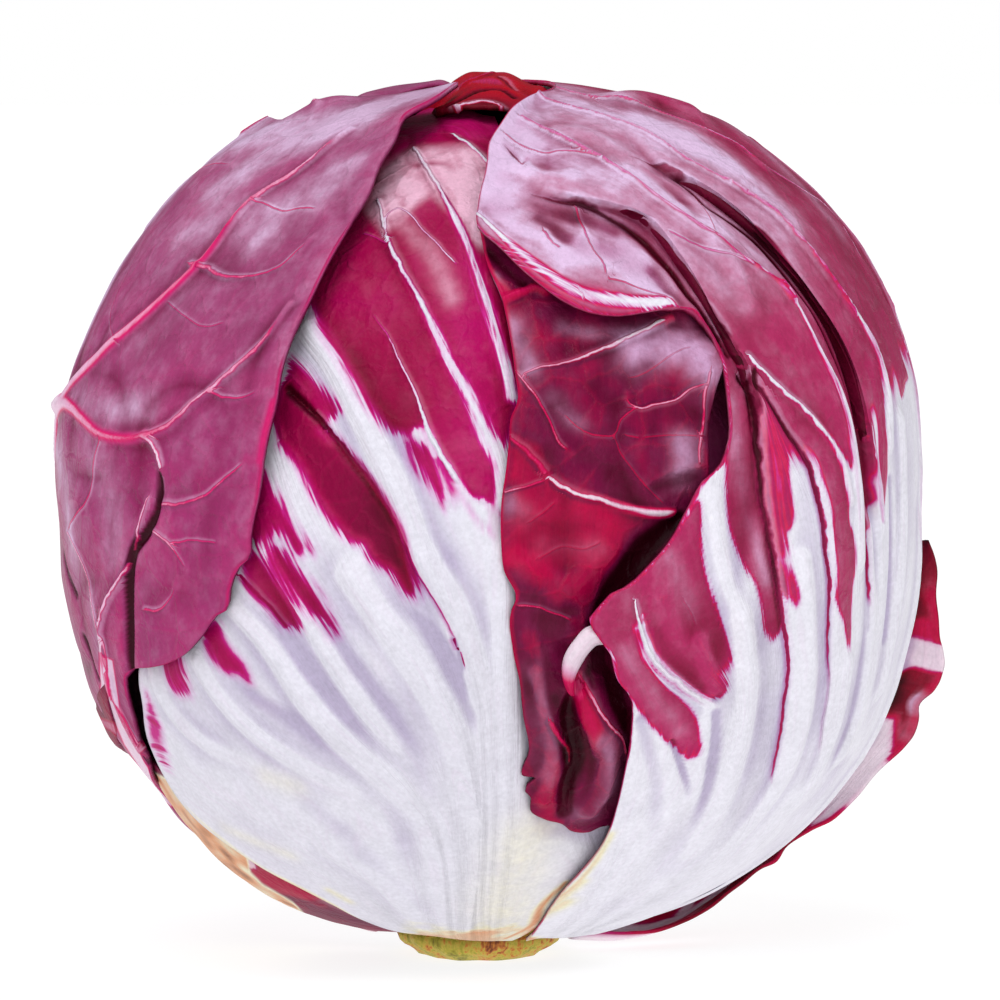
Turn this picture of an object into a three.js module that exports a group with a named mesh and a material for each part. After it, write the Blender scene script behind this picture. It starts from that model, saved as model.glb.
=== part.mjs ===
// A head of round red radicchio (Chioggia type), standing on the flat cut face of its stem.
//
// Units are millimetres and degrees. +Z is up, and the origin is the centre of the cut face.
// -Y is the head's front, where its overlapping leaf margins meet, and +X is to the right of it.
//
// Every leaf is a thin shell wrapped round one shared head shape at its own depth below the
// outermost leaves, so that the leaves lie on each other like the layers of an onion and never
// meet. They start at the core, a cone that carries on up from the cut stem.

import * as THREE from 'three';

// ---------------------------------------------------------------- driving dimensions
const HEAD_RADIUS = 61; // to the outside of the outermost whole leaves
const HEAD_CENTRE_HEIGHT = 60.8;
const LEAN = 2.7; // how far the head stands to the right of its stem
const LEAN_HEIGHT = 30; // the lean builds up over this height

const BASE_FLATTENING = 0.045; // share of the radius lost at the bottom, where the leaves join the stem
const BASE_FLATTENING_SPREAD = 22;

const OUTER_THICKNESS = 1.4;
const TORN_THICKNESS = 1.1;
const INNER_THICKNESS = 1.5;

const STEM_RADIUS = 10.6;
const STUB_HEIGHT = 3;
const CORE_HEIGHT = 34.5;
const HEART_RADIUS = 25;

// Depth of each leaf's outside below HEAD_RADIUS. A torn leaf lies outside the whole ones, and
// the end of one curls away from the head.
const CURLED_DEPTH = -5.5;
const TORN_DEPTH = -1.8;
const FIRST_DEPTH = 0;
const SECOND_DEPTH = 2.5;
const THIRD_DEPTH = 5.1;

// The head isn't quite a ball: where it bulges (+) or is drawn in (-), and by how much.
const SWELLINGS = [
  { longitude: 90, polar: 85, height: -2.2, spread: 28 }, // right flank
  { longitude: 95, polar: 135, height: 2.0, spread: 28 }, // right shoulder
  { longitude: -90, polar: 88, height: -1.0, spread: 28 }, // left flank
  { longitude: 0, polar: 180, height: -0.8, spread: 25 }, // crown
];

// ---------------------------------------------------------------- colours
const WINE = { color: 0x8a2a55, roughness: 0.45, metalness: 0 };
const MAGENTA = { color: 0xa01850, roughness: 0.45, metalness: 0 };
const DARK_WINE = { color: 0x6a1236, roughness: 0.4, metalness: 0 };
const PALE_RIB = { color: 0xe6dfe8, roughness: 0.5, metalness: 0 };
const CUT_STEM = { color: 0xc2a060, roughness: 0.8, metalness: 0 };

// ---------------------------------------------------------------- the shared head shape
const radians = THREE.MathUtils.degToRad;

// A direction from the head's centre. Polar 0 is down the stem and 180 the crown, and longitude
// 0 is the front and 90 the right. Polar angles past 180 carry on down the far side.
function polarDirection(longitude, polar) {
  const ring = Math.sin(radians(polar));
  return new THREE.Vector3(
    ring * Math.sin(radians(longitude)),
    -ring * Math.cos(radians(longitude)),
    -Math.cos(radians(polar)),
  );
}

// A direction given on one leaf: along its midrib, which runs up the meridian at longitude from
// the stem and over the crown, and then square off the midrib, to the right as seen from outside.
function leafDirection(longitude, along, across) {
  const midrib = polarDirection(longitude, along);
  const rightwards = new THREE.Vector3(Math.cos(radians(longitude)), Math.sin(radians(longitude)), 0);
  return midrib
    .multiplyScalar(Math.cos(radians(across)))
    .addScaledVector(rightwards, Math.sin(radians(across)));
}

function bell(angle, spread) {
  return Math.exp(-((angle / spread) ** 2));
}

function headRadius(direction) {
  const fromStem = THREE.MathUtils.radToDeg(Math.acos(-direction.z));
  const swelling = SWELLINGS.reduce((sum, s) => {
    const away = polarDirection(s.longitude, s.polar).angleTo(direction);
    return sum + s.height * bell(THREE.MathUtils.radToDeg(away), s.spread);
  }, 0);
  return (HEAD_RADIUS + swelling) * (1 - BASE_FLATTENING * bell(fromStem, BASE_FLATTENING_SPREAD));
}

// Where a leaf's surface lies in a direction, at a depth below the outside of the head.
function headPoint(direction, depth) {
  const shrink = (HEAD_RADIUS - depth) / HEAD_RADIUS;
  const point = direction.clone().multiplyScalar(headRadius(direction) * shrink);
  point.z += HEAD_CENTRE_HEIGHT;
  return leaned(point);
}

function leaned(point) {
  point.x += LEAN * THREE.MathUtils.smoothstep(point.z, 0, LEAN_HEIGHT);
  return point;
}

// ---------------------------------------------------------------- solids
function named(name, geometry, finish) {
  const mesh = new THREE.Mesh(geometry, new THREE.MeshStandardMaterial(finish));
  mesh.name = name;
  return mesh;
}

// A flat slab bent into a leaf: its width runs across the leaf, its height from base to tip and
// its depth through the leaf. place(along, across, through) takes shares from 0 to 1.
function bentSlab(columns, rows, place) {
  const slab = new THREE.BoxGeometry(1, 1, 1, columns, rows, 1);
  const positions = slab.getAttribute('position');
  const corner = new THREE.Vector3();
  for (let i = 0; i < positions.count; i++) {
    corner.fromBufferAttribute(positions, i).addScalar(0.5);
    const point = place(corner.y, corner.x, 1 - corner.z);
    positions.setXYZ(i, point.x, point.y, point.z);
  }
  slab.computeVertexNormals();
  return slab;
}

// One outer leaf. Each row of its outline is a place along the midrib, how far the leaf reaches to
// the left and right of it there, and how deep its left and right margins lie.
function outerLeaf({ name, longitude, outline, thickness = OUTER_THICKNESS, columns = 11, rows = 13, finish }) {
  const rail = new THREE.CatmullRomCurve3(
    outline.map(([along, left, right]) => new THREE.Vector3(along, left, right)),
  );
  const depths = new THREE.CatmullRomCurve3(
    outline.map(([, , , leftDepth, rightDepth]) => new THREE.Vector3(leftDepth, rightDepth, 0)),
    false,
    'catmullrom',
    0,
  );
  const geometry = bentSlab(columns, rows, (up, right, inward) => {
    const row = rail.getPoint(up);
    const margin = depths.getPoint(up);
    const across = THREE.MathUtils.lerp(row.y, row.z, right);
    const depth = THREE.MathUtils.lerp(margin.x, margin.y, right) + inward * thickness;
    return headPoint(leafDirection(longitude, row.x, across), depth);
  });
  return named(name, geometry, finish);
}

// One inner leaf: a wide sheath from the core up to the crown. Its left margin lies over the next
// leaf and its right margin under the one before, so that a ring of them closes like a shutter.
function ringLeaf({ name, longitude, halfWidth, startPolar, depth, overlap, finish }) {
  const endPolar = 171;
  const geometry = bentSlab(8, 9, (up, right, inward) => {
    const polar = THREE.MathUtils.lerp(startPolar, endPolar, up);
    const turn = THREE.MathUtils.lerp(-halfWidth, halfWidth, right);
    const under = depth + overlap * right + inward * INNER_THICKNESS;
    return headPoint(polarDirection(longitude + turn, polar), under);
  });
  return named(name, geometry, finish);
}

function ring({ prefix, first, count, turn, halfWidth, startPolar, depth, finish }) {
  return Array.from({ length: count }, (_, i) =>
    ringLeaf({
      name: `${prefix}_${String(first + i).padStart(2, '0')}`,
      longitude: turn + (360 / count) * i,
      halfWidth,
      startPolar,
      depth,
      overlap: 2.6,
      finish,
    }),
  );
}

// ---------------------------------------------------------------- the pieces
// The cut stem and the core that it carries up into the head, as one turned solid.
function stemCore() {
  const profile = [
    [0, 0],
    [STEM_RADIUS - 0.8, 0],
    [STEM_RADIUS, 0.8],
    [STEM_RADIUS, STUB_HEIGHT],
    [STEM_RADIUS - 1, STUB_HEIGHT * 2],
    [STEM_RADIUS - 2, 14],
    [STEM_RADIUS - 3.6, 26],
    [STEM_RADIUS - 6.4, CORE_HEIGHT - 1],
    [0, CORE_HEIGHT],
  ].map(([radius, height]) => new THREE.Vector2(radius, height));
  const geometry = new THREE.LatheGeometry(profile, 28);
  geometry.rotateX(Math.PI / 2);
  const positions = geometry.getAttribute('position');
  for (let i = 0; i < positions.count; i++) {
    const point = leaned(new THREE.Vector3().fromBufferAttribute(positions, i));
    positions.setXYZ(i, point.x, point.y, point.z);
  }
  geometry.computeVertexNormals();
  return named('stem_core', geometry, CUT_STEM);
}

// The tight bud of tiny leaves at the middle, on top of the core.
function heartBud() {
  const geometry = new THREE.SphereGeometry(HEART_RADIUS, 18, 12);
  geometry.rotateX(Math.PI / 2);
  geometry.translate(LEAN, 0, HEAD_CENTRE_HEIGHT);
  return named('heart_bud', geometry, PALE_RIB);
}

const D1 = FIRST_DEPTH;
const D2 = SECOND_DEPTH;
const D3 = THIRD_DEPTH;

// Outline rows: along the midrib, reach to the left, reach to the right, left depth, right depth.
const OUTER_LEAVES = [
  {
    name: 'left_leaf',
    longitude: -95,
    finish: WINE,
    outline: [
      [11.5, -8, 8, D1, D1],
      [35, -32, 13, D1, D1],
      [54, -46, 22, D1, D1],
      [66, -52, 38, D1, D1],
      [80, -56, 56, D1, D1],
      [105, -58, 62, D1, D1],
      [138, -52, 55, D1, D1],
      [160, -38, 42, D1, D1],
      [174, -20, 24, D1, D1],
    ],
  },
  {
    name: 'right_leaf',
    longitude: 75,
    finish: WINE,
    columns: 12,
    rows: 14,
    outline: [
      [11.5, -9, 9, D1, D1],
      [20, -26, 25, D1, D1],
      [31, -35, 40, D1, D1],
      [44, -44, 50, D1, D1],
      [63, -56, 56, D1, D1],
      [90, -50, 58, D1, D1],
      [117, -38, 55, D1, D1],
      [130, -40, 52, D1, D1],
      [147, -49, 44, D1, D1],
      [163, -42, 30, D1, D1],
      [172, -22, 14, D1, D1],
    ],
  },
  {
    name: 'crumpled_leaf',
    longitude: 35,
    finish: DARK_WINE,
    outline: [
      [11.5, -8, 8, D2, D2],
      [30, -11, 25, D2, D2],
      [44, -16, 38, D2, D2],
      [56, -26, 45, D2, D2],
      [70, -31, 48, D2, D2],
      [90, -34, 48, D2, D2],
      [112, -31, 44, D2, D2],
      [130, -26, 36, D2, D2],
      [146, -15, 20, D2, D2],
    ],
  },
  {
    name: 'front_leaf',
    longitude: -25,
    finish: MAGENTA,
    outline: [
      [11.5, -8, 9, D2, D3],
      [18, -12, 15, D2, D3],
      [28, -22, 25, D2, D3],
      [41, -33, 33, D2, D3],
      [54, -40, 37, D2, D3],
      [70, -45, 39, D2, D3],
      [95, -47, 39, D2, D3],
      [125, -42, 34, D2, D3],
      [148, -30, 24, D3, D3],
      [166, -12, 10, D3, D3],
    ],
  },
  {
    name: 'back_right_leaf',
    longitude: 150,
    finish: WINE,
    outline: [
      [11.5, -9, 9, D2, D2],
      [30, -34, 34, D2, D2],
      [55, -52, 52, D2, D2],
      [90, -58, 58, D2, D2],
      [130, -50, 50, D2, D2],
      [160, -32, 32, D2, D2],
      [176, -20, 20, D2, D2],
      [190, -10, 10, D2, D2],
    ],
  },
  {
    name: 'back_left_leaf',
    longitude: -155,
    finish: WINE,
    outline: [
      [11.5, -9, 9, D3, D3],
      [30, -34, 34, D3, D3],
      [55, -50, 50, D3, D3],
      [90, -56, 54, D3, D3],
      [130, -46, 42, D3, D3],
      [150, -30, 26, D3, D3],
      [166, -10, 10, D3, D3],
    ],
  },
  {
    name: 'torn_right_leaf',
    longitude: 105,
    finish: MAGENTA,
    thickness: TORN_THICKNESS,
    columns: 8,
    rows: 11,
    outline: [
      [13, -6, 6, TORN_DEPTH, TORN_DEPTH],
      [26, -9, 16, TORN_DEPTH, TORN_DEPTH],
      [40, -12, 24, TORN_DEPTH, TORN_DEPTH],
      [56, -15, 29, CURLED_DEPTH, TORN_DEPTH],
      [72, -18, 27, CURLED_DEPTH, CURLED_DEPTH],
      [84, -24, 14, CURLED_DEPTH, CURLED_DEPTH],
    ],
  },
  {
    name: 'torn_left_leaf',
    longitude: -85,
    finish: DARK_WINE,
    thickness: TORN_THICKNESS,
    columns: 8,
    rows: 9,
    outline: [
      [14, -11, 13, TORN_DEPTH, TORN_DEPTH],
      [20, -20, 15, TORN_DEPTH, TORN_DEPTH],
      [29, -26, 10, TORN_DEPTH, TORN_DEPTH],
      [42, -28, 8, TORN_DEPTH, TORN_DEPTH],
      [54, -22, 7, TORN_DEPTH, TORN_DEPTH],
      [64, -12, 4, TORN_DEPTH, TORN_DEPTH],
    ],
  },
];

const INNER_RINGS = [
  { prefix: 'inner_leaf', first: 1, count: 3, turn: 20, halfWidth: 68, startPolar: 12.5, depth: 7.9, finish: MAGENTA },
  { prefix: 'inner_leaf', first: 4, count: 3, turn: 75, halfWidth: 68, startPolar: 13.5, depth: 13.4, finish: MAGENTA },
  { prefix: 'inner_leaf', first: 7, count: 3, turn: 10, halfWidth: 68, startPolar: 14.5, depth: 18.9, finish: MAGENTA },
  { prefix: 'inner_leaf', first: 10, count: 3, turn: 60, halfWidth: 68, startPolar: 15.5, depth: 24.4, finish: PALE_RIB },
  { prefix: 'heart_leaf', first: 1, count: 2, turn: 30, halfWidth: 100, startPolar: 17, depth: 29.9, finish: PALE_RIB },
];

const head = new THREE.Group();
head.add(stemCore(), heartBud());
for (const leaf of OUTER_LEAVES) head.add(outerLeaf(leaf));
for (const innerRing of INNER_RINGS) head.add(...ring(innerRing));

export default head;
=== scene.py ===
import math
from functools import partial

import bpy
import numpy as np
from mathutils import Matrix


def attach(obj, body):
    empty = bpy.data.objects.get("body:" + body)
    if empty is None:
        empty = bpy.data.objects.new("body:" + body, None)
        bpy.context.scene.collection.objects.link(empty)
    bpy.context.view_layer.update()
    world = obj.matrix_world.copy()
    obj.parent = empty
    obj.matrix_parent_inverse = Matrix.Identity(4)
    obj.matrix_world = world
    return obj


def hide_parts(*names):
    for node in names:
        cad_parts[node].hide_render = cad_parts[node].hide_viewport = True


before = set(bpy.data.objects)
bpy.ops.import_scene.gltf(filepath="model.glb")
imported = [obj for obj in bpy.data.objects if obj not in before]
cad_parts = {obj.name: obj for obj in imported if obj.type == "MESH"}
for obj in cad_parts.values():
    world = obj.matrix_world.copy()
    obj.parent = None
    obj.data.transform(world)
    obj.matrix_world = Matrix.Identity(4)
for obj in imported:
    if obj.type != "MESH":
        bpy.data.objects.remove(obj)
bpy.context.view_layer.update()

# A head of round red radicchio. Lengths here are in millimetres and are turned to metres when a
# mesh is made. Every leaf lies on one shared head shape, the same as the frame's, at a lift above
# or below it. A spot on a leaf is a direction from the head's centre and a lift, in four numbers.

MM = 0.001
HEAD_RADIUS = 61.0
HEAD_CENTRE = np.array([0.0, 0.0, 60.8])
LEAN = 2.7
LEAN_HEIGHT = 30.0
BASE_FLATTENING = 0.045
BASE_FLATTENING_SPREAD = 22.0
# longitude, polar angle, height and spread of each place where the head bulges or is drawn in
SWELLINGS = [(90, 85, -2.2, 28), (95, 135, 2.0, 28), (-90, 88, -1.0, 28), (0, 180, -0.8, 25)]
HEART_RADIUS = 25.0

# The camera stands low in front. Front-view coordinates count pixels of a 1000 x 1000 render from
# its top left corner.
EYE_DISTANCE = 900.0
EYE_ELEVATION = math.radians(4.0)
AIM = np.array([3.0, 0.0, 62.6])
LENS = 236.0
SENSOR = 36.0
PICTURE = 1000
TO_AIM = np.array([0.0, math.cos(EYE_ELEVATION), -math.sin(EYE_ELEVATION)])
RIGHTWARDS = np.array([1.0, 0.0, 0.0])
UPWARDS = np.cross(RIGHTWARDS, TO_AIM)
EYE = AIM - EYE_DISTANCE * TO_AIM


# ------------------------------------------------------------------ the head's shape
def unit(vectors):
    return vectors / np.linalg.norm(vectors, axis=-1, keepdims=True)


def smooth(value, low, high):
    t = np.clip((value - low) / (high - low), 0, 1)
    return t * t * (3 - 2 * t)


def bell(value):
    return np.exp(-value * value)


def towards(longitude, polar):
    """A direction: longitude 0 is the front and 90 the right; polar 0 is the stem and 180 the crown."""
    longitude, polar = np.radians(longitude), np.radians(polar)
    ring = np.sin(polar)
    return np.stack([ring * np.sin(longitude), -ring * np.cos(longitude), -np.cos(polar)], axis=-1)


def head_radius(directions):
    radius = np.full(directions.shape[:-1], HEAD_RADIUS)
    for longitude, polar, height, spread in SWELLINGS:
        near = np.clip(directions @ towards(longitude, polar), -1, 1)
        radius += height * bell(np.degrees(np.arccos(near)) / spread)
    from_stem = np.degrees(np.arccos(np.clip(-directions[..., 2], -1, 1)))
    return radius * (1 - BASE_FLATTENING * bell(from_stem / BASE_FLATTENING_SPREAD))


def leaning_centre(heights):
    return HEAD_CENTRE + RIGHTWARDS * (LEAN * smooth(heights, 0, LEAN_HEIGHT))[..., None]


def place(directions, lifts):
    """Where spots are, in millimetres."""
    points = HEAD_CENTRE + directions * (head_radius(directions) + lifts)[..., None]
    points[..., 0] += LEAN * smooth(points[..., 2], 0, LEAN_HEIGHT)
    return points


def around(*spots):
    """Spots given as longitude, polar angle and lift, for what the front doesn't show."""
    table = np.array([(*spot, 0)[:3] for spot in spots], float)
    return np.column_stack([towards(table[:, 0], table[:, 1]), table[:, 2]])


def sight_lines(table):
    """The rays from the eye through front-view coordinates."""
    focal = PICTURE * LENS / SENSOR
    right = (table[:, :1] - PICTURE / 2) / focal
    up = (PICTURE / 2 - table[:, 1:2]) / focal
    return unit(TO_AIM + RIGHTWARDS * right + UPWARDS * up)


# the head isn't quite a ball, so where a ray meets it is found in rounds, each closer than the last
SIGHT_ROUNDS = 12


def seen(*spots):
    """Spots given as front-view right, front-view down and lift."""
    table = np.array([(*spot, 0)[:3] for spot in spots], float)
    rays = sight_lines(table)
    directions = np.tile([0.0, -1.0, 0.0], (len(table), 1))
    heights = np.full(len(table), HEAD_CENTRE[2])
    for _ in range(SIGHT_ROUNDS):
        reach = EYE - leaning_centre(heights)
        half_b = (rays * reach).sum(1)
        inside = half_b**2 - (reach**2).sum(1) + (head_radius(directions) + table[:, 2]) ** 2
        hit = EYE + (-half_b - np.sqrt(np.maximum(inside, 0)))[:, None] * rays
        heights = hit[:, 2]
        directions = unit(hit - leaning_centre(heights))
    return np.column_stack([directions, table[:, 2]])


def beyond(*spots):
    """Spots past the head's outline, given as front-view right, front-view down and how far back."""
    table = np.array(spots, float)
    rays = sight_lines(table)
    hit = EYE + rays * ((table[:, 2] - EYE[1]) / rays[:, 1])[:, None]
    off = hit - leaning_centre(hit[:, 2])
    directions = unit(off)
    return np.column_stack([directions, np.linalg.norm(off, axis=1) - head_radius(directions)])


def front_view(points):
    """Front-view coordinates of points."""
    off = points - EYE
    focal = PICTURE * LENS / SENSOR / (off @ TO_AIM)
    return PICTURE / 2 + off @ RIGHTWARDS * focal, PICTURE / 2 - off @ UPWARDS * focal


def drawn(*numbers):
    """A line on the head from front-view coordinates, right and down in turn."""
    return seen(*zip(numbers[::2], numbers[1::2]))


LATTICE = 256


def noise(points, size, seed):
    """Smooth random heights between about -1 and 1 that change over size millimetres."""
    draw = np.random.default_rng(seed)
    order = draw.permutation(LATTICE)
    heights = draw.uniform(-1, 1, LATTICE)
    cell = points / size + LATTICE / 4
    corner = np.floor(cell).astype(int)
    share = cell - corner
    share = share * share * (3 - 2 * share)
    total = np.zeros(points.shape[:-1])
    for step in np.ndindex(2, 2, 2):
        x, y, z = np.moveaxis((corner + step) % LATTICE, -1, 0)
        index = order[(order[(order[x] + y) % LATTICE] + z) % LATTICE]
        total += heights[index] * np.prod(np.where(step, share, 1 - share), axis=-1)
    return total


# ------------------------------------------------------------------ curves on the head
def slopes(knots, values, gentle):
    step = np.diff(knots)[:, None]
    rise = np.diff(values, axis=0) / step
    if len(knots) == 2:
        return np.vstack([rise, rise])
    before, after = rise[:-1], rise[1:]
    inner = (step[1:] * before + step[:-1] * after) / (step[1:] + step[:-1])
    if gentle:
        product = before * after
        inner = np.where(product > 0, 2 * product / np.where(product > 0, before + after, 1), 0)
    return np.vstack([rise[:1], inner, rise[-1:]])


def through(knots, values, at):
    """A smooth line through values at knots. Its last column, the lift, never overshoots."""
    tangents = slopes(knots, values, gentle=False)
    tangents[:, 3::4] = slopes(knots, values, gentle=True)[:, 3::4]
    piece = np.clip(np.searchsorted(knots, at, side="right") - 1, 0, len(knots) - 2)
    width = (knots[piece + 1] - knots[piece])[:, None]
    t = ((at - knots[piece])[:, None]) / width
    return (
        (2 * t**3 - 3 * t**2 + 1) * values[piece]
        + (t**3 - 2 * t**2 + t) * width * tangents[piece]
        + (3 * t**2 - 2 * t**3) * values[piece + 1]
        + (t**3 - t**2) * width * tangents[piece + 1]
    )


def lengths(spots):
    steps = np.linalg.norm(np.diff(spots[:, :3], axis=0), axis=1) * HEAD_RADIUS
    return np.concatenate([[0], np.cumsum(np.maximum(steps, 0.01))])


def resampled(spots, count):
    knots = lengths(spots)
    line = through(knots, spots, np.linspace(0, knots[-1], count))
    line[:, :3] = unit(line[:, :3])
    return line


def blurred(values, reach):
    """Means over a square of the grid, taken twice."""
    for _ in range(2):
        for axis in (0, 1):
            wide = [(0, 0), (0, 0)]
            wide[axis] = (reach + 1, reach)
            total = np.cumsum(np.pad(values, wide, mode="edge"), axis=axis)
            far = np.take(total, np.arange(2 * reach + 1, total.shape[axis]), axis)
            close = np.take(total, np.arange(total.shape[axis] - 2 * reach - 1), axis)
            values = (far - close) / (2 * reach + 1)
    return values


# ------------------------------------------------------------------ what is drawn on a leaf
# The finest half width that a leaf's grid can carry, and the narrowest edge of a painted line.
# A painted line with a half width under WIDEST_VEIN somewhere is kept as a vein too, which the finish
# draws from how far off to one side each spot is: VEIN is its usual half width, and VEIN_REACH how far
# to the side that is kept.
FINEST = 0.42
FINEST_EDGE = 0.9
WIDEST_VEIN = 0.5
VEIN_REACH = 1.3
VEIN = 0.2
# spots looked at together, to save memory
BLOCK = 20000
# how far round its end a stripe frays, in front-view coordinates
FRAY = 8
FRAY_SOFTNESS = 30
# what counts as a fine or a broad hollow: how wide it is and how deep a full one is
FINE_HOLLOW = (1.0, 0.28)
BROAD_HOLLOW = (3.8, 0.6)


# the back of a leaf has one spot for this many squared of its face
COARSE = 4
# nothing is drawn on a leaf farther than this from a fine line, in mm
FAR_FROM_VEIN = 3.0
# how far behind the head's outline paint still reaches, and over what distance it ends
REARMOST = -0.1
PAINT_END = 0.1
# how far to either side of a path its bell-shaped strokes are worked out, in half widths and mm
STROKE_REACH = 3.2
PLEAT_REACH = 2.6
# the share of a swell's height at which its crease gives way to a flat top
CREASE = 0.35


class Leaf:
    """A leaf's outer face as a grid of spots between rails that run from its base to its tip.

    It carries what its finish needs at each spot: tone (0 a white rib, 1 the blade, 1.5 painted shade in a
    dark hollow), bloom_and_sheen (a pale waxy layer that also carries painted sheen and highlights), stain
    (1 cream, 2 peach, 3 brown), hollow (1 in a valley, -1 on a ridge, which the finish paints as shade and
    highlight), grain (mm across and along) and vein (mm to the left of the nearest fine line, how near it
    is, and its tone)."""

    def __init__(self, rails, spacing=0.45, across=None):
        longest = max(lengths(rail)[-1] for rail in rails)
        rows = int(longest / spacing) // COARSE * COARSE + COARSE + 1
        lines = np.stack([resampled(rail, rows) for rail in rails])
        gaps = np.linalg.norm(np.diff(lines[..., :3], axis=0), axis=-1) * HEAD_RADIUS
        gaps = np.sqrt((gaps**2).mean(1))
        across = np.array(across) if across else spacing
        knots = np.concatenate([[0], np.cumsum(gaps)])
        columns = np.maximum(2, np.round(gaps / across).astype(int))
        columns[-1] += (-columns.sum()) % COARSE
        at = np.concatenate(
            [np.linspace(knots[i], knots[i + 1], n, endpoint=False) for i, n in enumerate(columns)]
            + [knots[-1:]]
        )
        spots = through(knots, lines.reshape(len(rails), -1), at).reshape(len(at), rows, 4)
        self.directions = unit(spots[..., :3])
        self.lift = spots[..., 3].copy()
        self.flat = self.directions * HEAD_RADIUS
        self.polar = np.degrees(np.arccos(np.clip(-self.directions[..., 2], -1, 1)))
        self.longitude = np.degrees(np.arctan2(self.directions[..., 0], -self.directions[..., 1]))
        self.tone = np.ones_like(self.lift)
        self.bloom_and_sheen = np.zeros_like(self.lift)
        self.stain = np.zeros_like(self.lift)
        self.hollow = np.zeros_like(self.lift)
        self.spacing = spacing
        self.vein = np.zeros((*self.lift.shape, 3))
        self.to_vein = np.full_like(self.lift, FAR_FROM_VEIN)
        along = np.linspace(0, longest, rows)
        self.grain = np.stack(np.broadcast_arrays((at - knots[-1] / 2)[:, None], along[None, :]), axis=-1)
        # how many times too coarse the grid is for the finest line
        gap = np.linalg.norm(np.gradient(self.flat, axis=0), axis=-1)
        self.coarseness = np.maximum(1, gap / FINEST)
        self.rearmost = REARMOST
        self.margin_left = self._from_edge(0)
        self.margin_right = self._from_edge(-1)

    def _from_edge(self, column):
        edge = self.flat[column : column + 1 or None]
        return np.linalg.norm(self.flat - edge, axis=-1)

    def near(self, path, reach=12.0, step=0.8):
        """Distance to a path, the share of the way along it, and the side (+ is to its left)."""
        count = max(3, int(lengths(path)[-1] / step))
        line = unit(resampled(path, count)[:, :3]) * HEAD_RADIUS
        middle = unit(line.mean(0))
        widest = np.arccos(np.clip((line @ middle / HEAD_RADIUS).min(), -1, 1))
        limit = math.cos(min(math.pi, widest + reach / HEAD_RADIUS))
        flat = self.flat.reshape(-1, 3)
        chosen = np.flatnonzero(flat @ middle >= limit * HEAD_RADIUS)
        points = flat[chosen]
        index = np.empty(len(points), int)
        for start in range(0, len(points), BLOCK):
            index[start : start + BLOCK] = (points[start : start + BLOCK] @ line.T).argmax(1)
        best = np.full(len(points), np.inf)
        share = np.zeros(len(points))
        side = np.zeros(len(points))
        for shift in (-1, 0):
            first = np.clip(index + shift, 0, count - 2)
            a, b = line[first], line[first + 1]
            run = b - a
            t = np.clip(((points - a) * run).sum(1) / (run * run).sum(1), 0, 1)
            off = points - a - run * t[:, None]
            distance = np.linalg.norm(off, axis=1)
            closer = distance < best
            best[closer] = distance[closer]
            share[closer] = ((first + t) / (count - 1))[closer]
            turn = (np.cross(run, off) * points).sum(1)
            side[closer] = np.sign(turn)[closer]
        found = []
        for values, otherwise in ((best, 999.0), (share, 0.0), (side, 0.0)):
            full = np.full(len(flat), otherwise)
            full[chosen] = values
            found.append(full.reshape(self.lift.shape))
        return found

    @staticmethod
    def _profile(values, share):
        values = np.atleast_1d(values).astype(float)
        return np.interp(share, np.linspace(0, 1, len(values)), values)

    def rib(self, path, width, height=0.0, tone=None, soft=0.5):
        """A raised (or, with a negative height, sunken) line, half as wide as width at each share
        of its way, and painted in a tone where one is given."""
        distance, share, hand = self.near(path, STROKE_REACH * np.max(width) + 2.0)
        half = self._profile(width, share)
        is_vein = tone is not None and np.min(width) < WIDEST_VEIN
        if is_vein:
            closer = distance < self.to_vein
            strength = np.clip(half / 0.24, 0.5, 1)
            strength = strength * smooth(1 - share, -0.02, 0.12) * smooth(-half, -0.7, -0.45)
            near = strength * bell(distance / VEIN_REACH)
            beside = hand * distance * VEIN / np.clip(half, 0.7 * VEIN, 1.8 * VEIN)
            vein = np.stack([beside, near, self._profile(tone, share)], axis=-1)
            self.vein[closer] = vein[closer]
            self.to_vein[closer] = distance[closer]
        finest = FINEST * self.coarseness
        fine = smooth(half, 0.75 * FINEST, 1.5 * FINEST) if is_vein else np.minimum(1, 2 * half / finest)
        swell = np.minimum(1, 1.6 * half / finest)
        half = np.maximum(half, finest)
        height = self._profile(height, share) * swell
        self.lift += height * bell(distance / np.maximum(half, 0.8 * np.abs(height)))
        if tone is not None:
            edge = np.maximum(soft, FINEST_EDGE * self.coarseness)
            mask = fine * smooth((half - distance) / edge + 0.5, 0, 1)
            self.tone += (self._profile(tone, share) - self.tone) * mask

    def ribs(self, *strokes, soft=0.5):
        for stroke in strokes:
            self.rib(*stroke, soft=soft)

    def fold(self, path, height, spread=6.0, edge=0.7, side=1):
        """A pleat's edge: the leaf rises by height on one side of the path and sinks back over
        spread."""
        distance, share, hand = self.near(path, PLEAT_REACH * spread)
        signed = distance * hand * side
        ends = smooth(share, 0.0, 0.12) * smooth(1 - share, 0.0, 0.12)
        rise = smooth(signed, -edge, edge) * bell(np.maximum(signed, 0) / spread)
        self.lift += self._profile(height, share) * ends * rise

    def inside(self, outline, soft):
        """1 inside a closed outline and 0 outside, over a soft edge."""
        ring = np.vstack([outline, outline[:1]])
        line = unit(resampled(ring, max(12, int(lengths(ring)[-1])))[:, :3])
        centre = unit(line.mean(0))
        right = unit(np.cross([0.0, 0.0, 1.0], centre))
        up = np.cross(centre, right)
        distance, _, _ = self.near(ring, 20.0)
        x, y = self.directions @ right, self.directions @ up
        px, py = line @ right, line @ up
        inside = np.zeros(self.lift.shape, bool)
        for i in range(len(px)):
            j = i - 1
            if abs(py[j] - py[i]) > 1e-9:
                edge = (px[j] - px[i]) * (y - py[i]) / (py[j] - py[i]) + px[i]
                inside ^= ((py[i] > y) != (py[j] > y)) & (x < edge)
        inside &= self.directions @ centre > 0.2
        return smooth(np.where(inside, distance, -distance), -soft / 2, soft / 2)

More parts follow.
